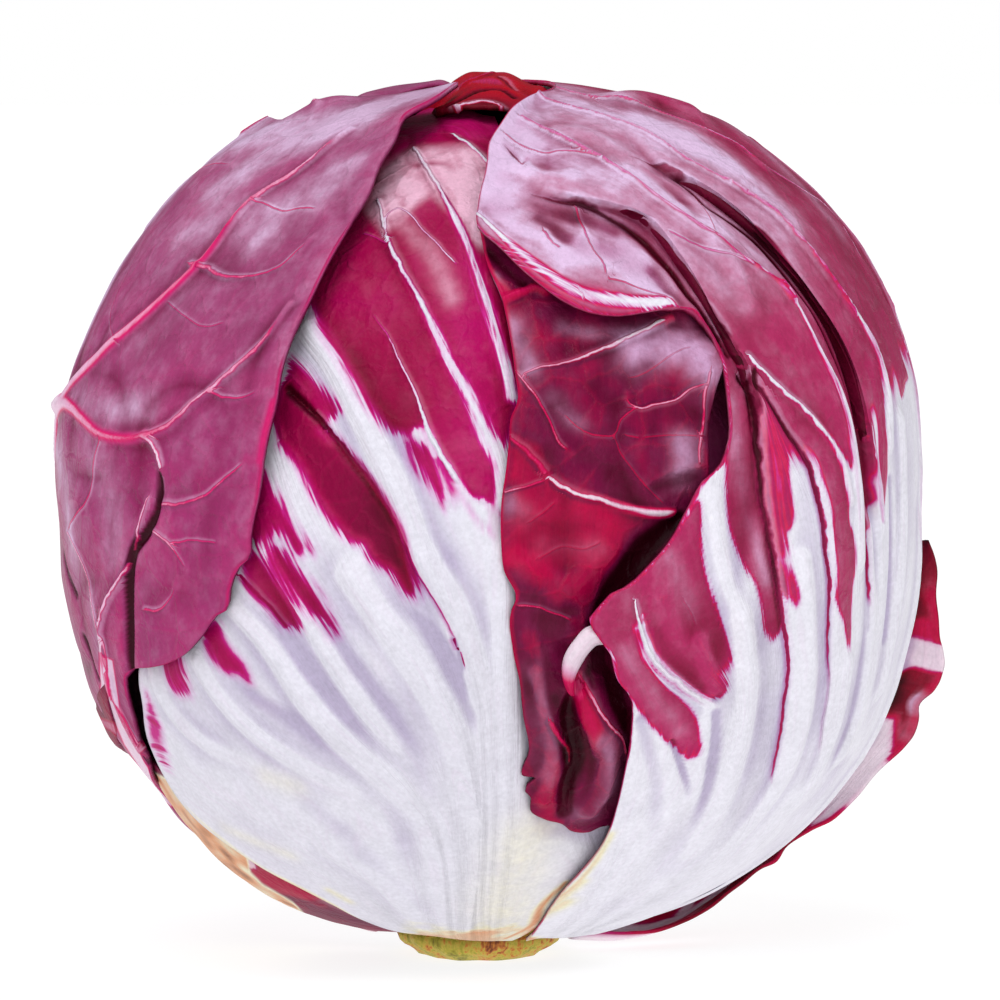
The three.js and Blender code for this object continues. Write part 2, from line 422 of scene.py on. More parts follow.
    def paint(self, outline, tone, soft=3.0, layer="tone"):
        """Paints what the front shows inside an outline, given in front-view coordinates."""
        layer = getattr(self, layer)
        right, down = front_view(place(self.directions, self.lift))
        x, y = np.array(outline[::2], float), np.array(outline[1::2], float)
        inside = np.zeros(right.shape, bool)
        distance = np.full(right.shape, 99.0)
        for i in range(len(x)):
            j = i - 1
            dx, dy = x[j] - x[i], y[j] - y[i]
            t = np.clip(((right - x[i]) * dx + (down - y[i]) * dy) / max(dx * dx + dy * dy, 1e-9), 0, 1)
            distance = np.minimum(distance, np.hypot(right - x[i] - t * dx, down - y[i] - t * dy))
            if dy:
                inside ^= ((y[i] > down) != (y[j] > down)) & (right < dx * (down - y[i]) / dy + x[i])
        facing = smooth(-self.directions @ TO_AIM, self.rearmost - PAINT_END, self.rearmost)
        mask = smooth(np.where(inside, distance, -distance), -soft / 2, soft / 2)
        layer += (tone - layer) * facing * mask

    def paints(self, *shapes):
        for shape in shapes:
            self.paint(*shape)

    def patch(self, outline, tone, soft=1.6):
        """Paints the inside of a closed outline in a tone."""
        self.tone += (tone - self.tone) * self.inside(outline, soft)

    def patches(self, *outlines, soft=1.6):
        for outline, tone in outlines:
            self.patch(outline, tone, soft)

    def feather(self, *spots):
        """Lets a coloured stripe run out along its fibres: each spot lies just past a stripe's end."""
        for x, y in spots:
            ring = (x - FRAY, y, x, y - FRAY, x + FRAY, y, x, y + FRAY)
            self.paint(ring, 0.0, soft=FRAY_SOFTNESS)

    def along(self, path, width, amount):
        """An amount that is strongest on a path and fades out over width."""
        distance, share, _ = self.near(path, STROKE_REACH * np.max(width) + 1.5)
        return self._profile(amount, share) * bell(distance / self._profile(width, share))

    def bloom_and_sheen_strokes(self, *strokes):
        """A pale waxy layer with painted sheen and highlights along paths, each with its width and amount.
        """
        for stroke in strokes:
            self.bloom_and_sheen += self.along(*stroke)

    def marks(self, *strokes):
        """Stains along paths, each with its width and amount."""
        for stroke in strokes:
            self.stain = np.maximum(self.stain, self.along(*stroke))

    def rough(self, size, height, seed, where=1.0):
        self.lift += height * noise(self.flat, size, seed) * where

    def crumple(self, size, height, seed, where=1.0):
        """Sharp creases between smooth swells, size millimetres apart."""
        swell = np.abs(noise(self.flat, size, seed))
        self.lift += height * (np.minimum(swell, CREASE) / CREASE - 0.6) * where

    def settle(self):
        """Finds the hollows and ridges, fine and broad, once the relief is all there. The finish paints
        shade in the hollows and highlights on the ridges from them.
        """
        depth = 0.0
        for width, full in (FINE_HOLLOW, BROAD_HOLLOW):
            means = blurred(self.lift, max(1, round(width / self.spacing)))
            depth = depth + (means - self.lift) / full
        self.hollow = np.clip(depth, -1, 1.5)

    def follow(self, *paths):
        """Turns the grain to run along paths, which go from left to right and from base to tip."""
        offset, before, total = 0.0, None, 0.0
        grain = np.zeros_like(self.grain)
        for path in paths:
            line = unit(resampled(path, 24)[:, :3]) * HEAD_RADIUS
            if before is not None:
                offset += np.linalg.norm(line - before, axis=1).mean()
            before = line
            distance, share, hand = self.near(path, 200.0)
            weight = (distance + 0.6) ** -3
            total = total + weight
            local = np.stack([offset - hand * distance, share * lengths(path)[-1]], axis=-1)
            grain += local * weight[..., None]
        self.grain = grain / total[..., None]


# ------------------------------------------------------------------ meshes
def grid_faces(columns, rows, first, inward):
    c, r = np.meshgrid(np.arange(columns - 1), np.arange(rows - 1), indexing="ij")
    a = (first + c * rows + r).ravel()
    quads = np.column_stack([a, a + rows, a + rows + 1, a + 1])
    return (quads[:, ::-1] if inward else quads).tolist()


def rim_loop(columns, rows, step):
    """Grid corners in order round the edge, every step-th of them."""
    loop = [(c, 0) for c in range(0, columns - 1, step)]
    loop += [(columns - 1, r) for r in range(0, rows - 1, step)]
    loop += [(c, rows - 1) for c in range(columns - 1, 0, -step)]
    loop += [(0, r) for r in range(rows - 1, 0, -step)]
    return loop


def lowest_near(heights, reach):
    low = heights.copy()
    for axis in (0, 1):
        base = low
        for shift in range(1, reach + 1):
            for sign in (1, -1):
                moved = np.roll(base, sign * shift, axis)
                edge = [slice(None), slice(None)]
                edge[axis] = slice(0, shift) if sign > 0 else slice(-shift, None)
                moved[tuple(edge)] = base[tuple(edge)]
                low = np.minimum(low, moved)
    return low


LOOKS = ("tone", "bloom_and_sheen", "stain", "hollow")
VECTOR_LOOKS = ("grain", "vein")
# a leaf's back, painted dark as shade
SHADED_BACK_LOOKS = (1.3, 0.0, 0.0, 0.6)


def leaf_solid(leaf, thickness, coarse=COARSE):
    """A closed thin solid: the leaf's face, and a plainer back that lies under it everywhere."""
    columns, rows = leaf.lift.shape
    outer = place(leaf.directions, leaf.lift)
    back_lift = lowest_near(leaf.lift, coarse - 1)[::coarse, ::coarse] - thickness
    inner = place(leaf.directions[::coarse, ::coarse], back_lift)
    inner_rows = inner.shape[1]
    first = columns * rows
    faces = grid_faces(columns, rows, 0, False)
    faces += grid_faces(inner.shape[0], inner_rows, first, True)
    fine = [c * rows + r for c, r in rim_loop(columns, rows, 1)]
    plain = [first + c // coarse * inner_rows + r // coarse for c, r in rim_loop(columns, rows, coarse)]
    for i, corner in enumerate(plain):
        following = plain[(i + 1) % len(plain)]
        outside = [fine[(i * coarse + k) % len(fine)] for k in range(coarse + 1)]
        faces.append((*outside[::-1], corner, following))

    def both(values, back=None):
        back = values[::coarse, ::coarse] if back is None else back
        return np.vstack([v.reshape(-1, v.shape[2]) for v in (values, back)])

    leaf.settle()
    points = np.vstack([outer.reshape(-1, 3), inner.reshape(-1, 3)])
    looks = np.stack([leaf.tone, leaf.bloom_and_sheen, leaf.stain, leaf.hollow], axis=-1)
    # a back that only shows deep in a crease is painted dark all over, as shade
    back = np.zeros_like(looks[::coarse, ::coarse]) + SHADED_BACK_LOOKS if coarse > 1 else None
    return points, faces, both(looks, back), both(leaf.grain), both(leaf.vein)


def looks_of(shape, tone, stain=0.0, hollow=0.0):
    parts = [np.broadcast_to(part, shape).ravel() for part in (tone, 0.0, stain, hollow)]
    return np.column_stack(parts)


def sheet_solid(points, thickness, tone):
    """A closed thin solid from a small free-standing grid of points, thickened along its own
    normals, for what curls away from the head."""
    columns, rows = points.shape[:2]
    du = np.gradient(points, axis=0)
    dv = np.gradient(points, axis=1)
    normals = unit(np.cross(du, dv))
    inner = points - normals * thickness
    first = columns * rows
    faces = grid_faces(columns, rows, 0, False) + grid_faces(columns, rows, first, True)
    fine = [c * rows + r for c, r in rim_loop(columns, rows, 1)]
    for i, corner in enumerate(fine):
        following = fine[(i + 1) % len(fine)]
        faces.append((following, corner, corner + first, following + first))
    grain = np.stack(np.meshgrid(np.arange(columns) * 0.5, np.arange(rows) * 0.5, indexing="ij"), axis=-1)
    looks = looks_of((columns, rows), tone)
    both = np.vstack([points.reshape(-1, 3), inner.reshape(-1, 3)])
    return both, faces, np.tile(looks, (2, 1)), np.tile(grain.reshape(-1, 2), (2, 1)), np.zeros_like(both)


def add_piece(name, node, solids, finish):
    """One object from closed solids, standing for one node of the frame."""
    faces, count = [], 0
    for solid in solids:
        faces += [tuple(corner + count for corner in face) for face in solid[1]]
        count += len(solid[0])
    points, looks, grain, vein = (np.vstack([solid[i] for solid in solids]) for i in (0, 2, 3, 4))
    mesh = bpy.data.meshes.new(name)
    mesh.from_pydata((points * MM).tolist(), [], faces)
    for look, values in zip(LOOKS, looks.T):
        mesh.attributes.new(look, "FLOAT", "POINT").data.foreach_set("value", values.ravel())
    grain = np.column_stack([grain, np.zeros(len(grain))])
    for look, values in zip(VECTOR_LOOKS, (grain, vein)):
        mesh.attributes.new(look, "FLOAT_VECTOR", "POINT").data.foreach_set("vector", values.ravel())
    mesh.polygons.foreach_set("use_smooth", [True] * len(mesh.polygons))
    mesh.materials.append(finish)
    mesh.validate()
    mesh.update()
    piece = bpy.data.objects.new(name, mesh)
    bpy.context.collection.objects.link(piece)
    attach(piece, "root")
    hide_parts(node)
    return piece


# ------------------------------------------------------------------ finishes
def linear(hex_colour):
    """An sRGB hex colour as linear light, with alpha."""
    channels = [int(hex_colour[i : i + 2], 16) / 255 for i in (1, 3, 5)]
    return [c / 12.92 if c <= 0.04045 else ((c + 0.055) / 1.055) ** 2.4 for c in channels] + [1.0]


def add_node(tree, kind, inputs=None, output=0, ramp=None, **settings):
    """Adds one node and gives its output. An input is given a value, or another node's output to
    link, and ramp is a colour ramp's places and colours."""
    node = tree.nodes.new(kind)
    for name, value in settings.items():
        setattr(node, name, value)
    for name, value in (inputs or {}).items():
        if isinstance(value, bpy.types.NodeSocket):
            tree.links.new(value, node.inputs[name])
        else:
            node.inputs[name].default_value = value
    if ramp:
        elements = node.color_ramp.elements
        for position, _ in ramp[1:-1]:
            elements.new(position)
        for element, (position, colour) in zip(elements, ramp):
            element.position = position
            element.color = linear(colour)
    return node.outputs[output] if node.outputs else node


def fresh(kept, name):
    """A new material or world with an empty node tree, and the function that adds a node to it."""
    owner = kept.new(name)
    owner.use_nodes = True
    owner.node_tree.nodes.clear()
    return owner, partial(add_node, owner.node_tree)


# the darkest tone is painted shade, deep in hollows and creases; the darkest stain is brown
DARKEST_TONE = 1.5
DARKEST_STAIN = 3.0
# cream, peach and brown, as the cut and bruised tissue near the stem discolours
STAINS = [(0.0, "#e9e6d6"), (0.33, "#e6dfc2"), (0.66, "#dc9f78"), (1.0, "#5a2c1c")]
# painted shade: what a hollow takes from the light, most on white ribs: a lilac grey
HOLLOW_WHITE = "#d3c9dc"
HOLLOW_BLADE = "#c88aa4"


def leaf_skin(name, tones, bloom_and_sheen_colour, feather, roughness, coat, blotch, veins, shine=0.25, bank_highlight=0.3):
    """A living leaf: a thin waxy cuticle over coloured cells, white and fibrous where the ribs run.
    The eye gets a soft sheen with painted sheen and highlights in a pale layer over it, net veins with a
    painted highlight on one bank and painted shade on the other, stronger and weaker colour in patches,
    painted lilac shade in the hollows between the ribs, and a frayed edge where white turns to red along
    the fibres."""
    material, node = fresh(bpy.data.materials, name)
    math_kind, ranged = "ShaderNodeMath", "ShaderNodeMapRange"
    tone, bloom_and_sheen, stain, hollow = (
        node("ShaderNodeAttribute", output="Fac", attribute_name=look) for look in LOOKS
    )
    grain, vein = (
        node("ShaderNodeAttribute", output="Vector", attribute_name=look) for look in VECTOR_LOOKS
    )
    beside = node("ShaderNodeSeparateXYZ", {"Vector": vein}, output="X")
    # veins waver by up to 0.1 mm, in bends about 2 mm long
    waver = node("ShaderNodeTexCoord", output="Object")
    waver = node("ShaderNodeTexNoise", {"Vector": waver, "Scale": 1000 / 2, "Detail": 2.0})
    waver = node(math_kind, {0: waver, 1: 1.0, 2: -0.5}, operation="MULTIPLY_ADD")
    beside = node(math_kind, {0: waver, 1: 0.5, 2: beside}, operation="MULTIPLY_ADD")
    nearness = node("ShaderNodeSeparateXYZ", {"Vector": vein}, output="Y")
    vein_tone = node("ShaderNodeSeparateXYZ", {"Vector": vein}, output="Z")
    # fine veins: a line 0.35 mm wide, with a painted highlight on the bank to one side and painted shade on
    # the other
    nearness = node(ranged, {"Value": nearness, "From Min": 0.38, "From Max": 0.66})
    off = node(math_kind, {0: beside}, operation="ABSOLUTE")
    line = node(ranged, {"Value": off, "From Min": 0.08, "From Max": 0.24, "To Min": 1.0, "To Max": 0.0})
    line = node(math_kind, {0: line, 1: nearness}, operation="MULTIPLY")
    bank = node(ranged, {"Value": off, "From Min": 0.3, "From Max": 0.75, "To Min": 1.0, "To Max": 0.0})
    bank = node(math_kind, {0: bank, 1: nearness}, operation="MULTIPLY")
    left = node(ranged, {"Value": beside, "From Min": 0.1, "From Max": 0.3})
    right = node(ranged, {
        "Value": beside, "From Min": -0.3, "From Max": -0.1, "To Min": 1.0, "To Max": 0.0,
    })
    highlit_bank = node(math_kind, {0: bank, 1: left}, operation="MULTIPLY")
    shaded_bank = node(math_kind, {0: bank, 1: right}, operation="MULTIPLY")
    line_tone = node("ShaderNodeMix", {0: line, 2: tone, 3: vein_tone})
    spot = node("ShaderNodeTexCoord", output="Object")
    # fibres: long cells about 0.5 mm wide and 9 mm long that follow the ribs
    along = node("ShaderNodeVectorMath", {0: grain, 1: (1 / 0.5, 1 / 9, 0)}, operation="MULTIPLY")
    fibres = node("ShaderNodeTexNoise", {"Vector": along, "Scale": 1.0, "Detail": 3.0})
    # streaks: brushed bands in the wax, 2 mm wide and 16 mm long
    along = node("ShaderNodeVectorMath", {0: grain, 1: (1 / 2, 1 / 16, 0)}, operation="MULTIPLY")
    streaks = node("ShaderNodeTexNoise", {"Vector": along, "Scale": 1.0, "Detail": 4.0, "Roughness": 0.6})
    # blotches: stronger and weaker colour, about 12 mm across
    blotches = node("ShaderNodeTexNoise", {"Vector": spot, "Scale": 1000 / 12, "Detail": 4.0})
    # mottling: the blade's puckered skin, about 3 mm across
    mottles = node("ShaderNodeTexNoise", {
        "Vector": spot, "Scale": 1000 / 3, "Detail": 4.0, "Roughness": 0.6,
    })
    # cells: about 0.6 mm, drawn coarser than life so that they show
    cells = node("ShaderNodeTexNoise", {"Vector": spot, "Scale": 1000 / 0.6, "Detail": 2.0})
    # net veins: closed meshes about 5 mm wide, bent by the mottling
    bend = (0.0024, 0.0024, 0.0024)
    bent = node("ShaderNodeVectorMath", {0: mottles, 1: bend, 2: spot}, operation="MULTIPLY_ADD")
    spacing = {"Vector": bent, "Scale": 1000 / 5.5}
    net = node("ShaderNodeTexVoronoi", spacing, output="Distance", feature="DISTANCE_TO_EDGE")
    net = node(ranged, {"Value": net, "From Min": 0.0, "From Max": 0.08, "To Min": 1.0, "To Max": 0.0})
    on_blade = node(ranged, {"Value": tone, "From Min": 0.55, "From Max": 0.9})
    net = node(math_kind, {0: net, 1: on_blade}, operation="MULTIPLY")

    # fraying is strongest where white meets red
    from_edge = node(math_kind, {0: tone, 1: -0.45}, operation="ADD")
    from_edge = node(math_kind, {0: from_edge}, operation="ABSOLUTE")
    fraying = {"Value": from_edge, "From Min": 0.1, "From Max": 0.45, "To Min": feather, "To Max": 0.12}
    fraying = node(ranged, fraying)
    fray = node(math_kind, {0: fibres, 1: -0.5}, operation="ADD")
    fray = node(math_kind, {0: fray, 1: fraying, 2: line_tone}, operation="MULTIPLY_ADD")
    drifting = node(math_kind, {0: on_blade, 1: blotch}, operation="MULTIPLY")
    drift = node(math_kind, {0: blotches, 1: -0.5}, operation="ADD")
    drifted = node(math_kind, {0: drift, 1: drifting, 2: fray}, operation="MULTIPLY_ADD")
    # painted shade and highlight: on the blade the tone darkens in the hollows and lightens on the ridges
    sunk = node(ranged, {
        "Value": hollow, "From Min": -1.0, "From Max": 1.6, "To Min": -0.16, "To Max": 0.2,
    })
    sunk = node(math_kind, {0: sunk, 1: on_blade, 2: drifted}, operation="MULTIPLY_ADD")
    # painted shade on each vein's shaded bank
    banked = node(math_kind, {0: shaded_bank, 1: 0.25, 2: sunk}, operation="MULTIPLY_ADD")
    veined = node(math_kind, {0: net, 1: -veins, 2: banked}, operation="MULTIPLY_ADD")
    share = node(math_kind, {0: veined, 1: DARKEST_TONE}, operation="DIVIDE")
    ramp = [(position / DARKEST_TONE, colour) for position, colour in tones]
    colour = node("ShaderNodeValToRGB", {"Fac": share}, ramp=ramp)
    # bloom and painted sheen: thicker and thinner in patches and brushed streaks, thicker on the ridges as
    # a painted highlight and thinner in the hollows as painted shade, with a painted highlight on each
    # vein's lit bank
    patches = node(math_kind, {0: streaks, 1: 0.7}, operation="MULTIPLY")
    patches = node(math_kind, {0: mottles, 1: 1.3, 2: patches}, operation="MULTIPLY_ADD")
    patchy = node(ranged, {
        "Value": patches, "From Min": 0.75, "From Max": 1.25, "To Min": 0.65, "To Max": 1.2,
    })
    bloom_and_sheen_amount = node(math_kind, {0: bloom_and_sheen, 1: patchy}, operation="MULTIPLY")
    bloom_and_sheen_amount = node(math_kind, {0: bloom_and_sheen_amount, 1: on_blade}, operation="MULTIPLY")
    # painted shine where the patches run high, up to shine
    thin = node(ranged, {
        "Value": patches, "From Min": 0.95, "From Max": 1.3, "To Min": 0.0, "To Max": shine,
    })
    thin = node(math_kind, {0: thin, 1: on_blade}, operation="MULTIPLY")
    raised = node(ranged, {
        "Value": hollow, "From Min": -1.0, "From Max": 0.9, "To Min": 1.3, "To Max": 0.5,
    })
    bloom_and_sheen_amount = node(math_kind, {0: bloom_and_sheen_amount, 1: thin}, operation="ADD")
    bloom_and_sheen_amount = node(math_kind, {0: bloom_and_sheen_amount, 1: raised}, operation="MULTIPLY")
    bloom_and_sheen_amount = node(math_kind, {0: highlit_bank, 1: bank_highlight, 2: bloom_and_sheen_amount}, operation="MULTIPLY_ADD")
    bare = node(ranged, {"Value": tone, "From Min": 1.05, "From Max": 1.3, "To Min": 1.0, "To Max": 0.0})
    bare_line = node(math_kind, {0: line, 1: -0.8, 2: 1.0}, operation="MULTIPLY_ADD")
    bare = node(math_kind, {0: bare, 1: bare_line}, operation="MULTIPLY")
    bloom_and_sheen_amount = node(math_kind, {0: bloom_and_sheen_amount, 1: bare}, operation="MULTIPLY", use_clamp=True)
    colour = node("ShaderNodeMix", {0: bloom_and_sheen_amount, 6: colour, 7: linear(bloom_and_sheen_colour)}, output=2, data_type="RGBA")
    # painted shade: the hollows multiply in a lilac grey on white ribs and a dusky pink on the blade
    shades = {0: on_blade, 6: linear(HOLLOW_WHITE), 7: linear(HOLLOW_BLADE)}
    shade = node("ShaderNodeMix", shades, output=2, data_type="RGBA")
    deep = node(ranged, {"Value": hollow, "From Min": 0.0, "From Max": 1.25})
    sinks = {0: deep, 6: colour, 7: shade}
    colour = node("ShaderNodeMix", sinks, output=2, data_type="RGBA", blend_type="MULTIPLY")
    stained = node(math_kind, {0: stain, 1: DARKEST_STAIN}, operation="DIVIDE")
    stain_colour = node("ShaderNodeValToRGB", {"Fac": stained}, ramp=STAINS)
    uneven = node(math_kind, {0: stain, 1: patchy}, operation="MULTIPLY", use_clamp=True)
    colour = node("ShaderNodeMix", {0: uneven, 6: colour, 7: stain_colour}, output=2, data_type="RGBA")
    speck = node(ranged, {
        "Value": cells, "From Min": 0.25, "From Max": 0.75, "To Min": 0.92, "To Max": 1.06,
    })
    depth = node(ranged, {
        "Value": mottles, "From Min": 0.3, "From Max": 0.7, "To Min": 0.95, "To Max": 1.04,
    })
    specked = node(math_kind, {0: speck, 1: depth}, operation="MULTIPLY")
    colour = node("ShaderNodeVectorMath", {0: colour, 1: specked}, operation="MULTIPLY")

    pebbles = node(math_kind, {0: cells, 1: 0.15}, operation="MULTIPLY")
    pucker = node(math_kind, {0: mottles, 1: 1.2, 2: pebbles}, operation="MULTIPLY_ADD")
    blade_relief = node(math_kind, {0: net, 1: 0.3, 2: pucker}, operation="MULTIPLY_ADD")
    rib_relief = node(math_kind, {0: fibres, 1: 0.6, 2: pebbles}, operation="MULTIPLY_ADD")
    relief = node("ShaderNodeMix", {0: on_blade, 2: rib_relief, 3: blade_relief})
    # pale veins stand up and dark creases lie deep
    stands = {"Value": vein_tone, "From Min": 0.6, "From Max": 1.2, "To Min": 0.7, "To Max": -0.7}
    stands = node(ranged, stands)
    relief = node(math_kind, {0: line, 1: stands, 2: relief}, operation="MULTIPLY_ADD")
    bump = node("ShaderNodeBump", {"Height": relief, "Strength": 0.6, "Distance": 0.0006})
    dullness = node(math_kind, {0: blotches, 1: 0.2, 2: roughness - 0.1}, operation="MULTIPLY_ADD")
    finish = {"Base Color": colour, "Roughness": dullness, "IOR": 1.4, "Coat Weight": coat}
    finish |= {"Specular IOR Level": 0.1, "Coat Roughness": 0.25, "Normal": bump}
    skin = node("ShaderNodeBsdfPrincipled", finish)
    node("ShaderNodeOutputMaterial", {"Surface": skin})
    return material


# thick bloom: the wine-red cells look mauve through it, and the veins pink
MAUVE = leaf_skin(
    "waxy mauve leaf skin",
    [(0.0, "#ece2ee"), (0.2, "#eab0d2"), (0.42, "#d6226a"), (0.65, "#b8206a"), (1.0, "#982664"),
     (1.5, "#480628")],
    bloom_and_sheen_colour="#d3b0d2",
    feather=0.1,
    roughness=0.38,
    coat=0.05,
    blotch=0.4,
    veins=0.06,
    shine=0.1,
)
# hardly any bloom: clear crimson that frays into white down the fibres
CRIMSON = leaf_skin(
    "crimson leaf skin with white ribs",
    [(0.0, "#dddbe6"), (0.2, "#dab8d8"), (0.4, "#c42488"), (0.6, "#b20a60"), (1.0, "#9c0446"),
     (1.5, "#5a0226")],
    bloom_and_sheen_colour="#e6b4cc",
    feather=1.7,
    roughness=0.4,
    coat=0.03,
    blotch=0.6,
    veins=0.06,
    shine=0.04,
    bank_highlight=0.15,
)
# bloom and painted sheen over the top, where it looks lilac; bare magenta stripes between white ribs
PLEATED = leaf_skin(
    "magenta leaf skin with white ribs",
    [(0.0, "#e6e4ee"), (0.2, "#dab8d8"), (0.4, "#c82f86"), (0.54, "#cc1a50"), (0.7, "#b01a5a"),
     (1.0, "#a01e50"), (1.5, "#500420")],
    bloom_and_sheen_colour="#dabbdd",
    feather=1.5,
    roughness=0.38,
    coat=0.05,
    blotch=0.4,
    veins=0.05,
    shine=0.08,
)
# shiny, with painted shade nearly black in its creases, and thin pale veins
WINE = leaf_skin(
    "dark wine leaf skin",
    [(0.0, "#e4dee6"), (0.2, "#dc9fc0"), (0.42, "#cc1258"), (0.65, "#b0023e"), (1.0, "#6e0a3a"),
     (1.5, "#360418")],
    bloom_and_sheen_colour="#c79ac0",
    feather=0.15,
    roughness=0.33,
    coat=0.06,
    blotch=0.5,
    veins=0.08,
    shine=0.03,
    bank_highlight=0.12,
)
# an old leaf's duller crimson, with a broad white rib
TORN = leaf_skin(
    "torn crimson leaf skin",
    [(0.0, "#f0e0ea"), (0.2, "#eac0d6"), (0.4, "#c42c74"), (0.6, "#c40c44"), (1.0, "#8e0c2a"),
     (1.5, "#3c0414")],
    bloom_and_sheen_colour="#c99bb8",
    feather=0.2,
    roughness=0.4,
    coat=0.06,
    blotch=0.3,
    veins=0.06,
    shine=0.05,
)
# dull and dry, browned and creamy along its rim
WITHERED = leaf_skin(
    "withered leaf skin",
    [(0.0, "#e8d6dc"), (0.2, "#d9a7b8"), (0.4, "#b5386a"), (0.7, "#a80c3c"), (1.0, "#6e1840"),
     (1.5, "#3a081e")],
    bloom_and_sheen_colour="#b79aa8",
    feather=0.2,
    roughness=0.5,
    coat=0.03,
    blotch=0.3,
    veins=0.06,
    shine=0.05,
)
# plain deep red, matt, with white ribs that fade into it
CRIMSON_BACK = leaf_skin(
    "red back leaf skin",
    [(0.0, "#e6e0ea"), (0.2, "#d9a8c6"), (0.4, "#bf2a6a"), (0.62, "#b8021e"), (1.0, "#840a28"),
     (1.5, "#400210")],
    bloom_and_sheen_colour="#cfa0c0",
    feather=0.3,
    roughness=0.5,
    coat=0.03,
    blotch=0.3,
    veins=0.06,
    shine=0.0,
)
# moist and pale at the base, wine red where it wraps over the heart
PALE_INNER = leaf_skin(
    "pale inner leaf skin",
    [(0.0, "#ecebe2"), (0.2, "#e3cfd6"), (0.4, "#c86a9c"), (0.6, "#b03a78"), (1.0, "#9c1f52"),
     (1.5, "#4a0a24")],
    bloom_and_sheen_colour="#e6c8d8",
    feather=0.4,
    roughness=0.45,
    coat=0.1,
    blotch=0.25,
    veins=0.06,
    shine=0.05,
)


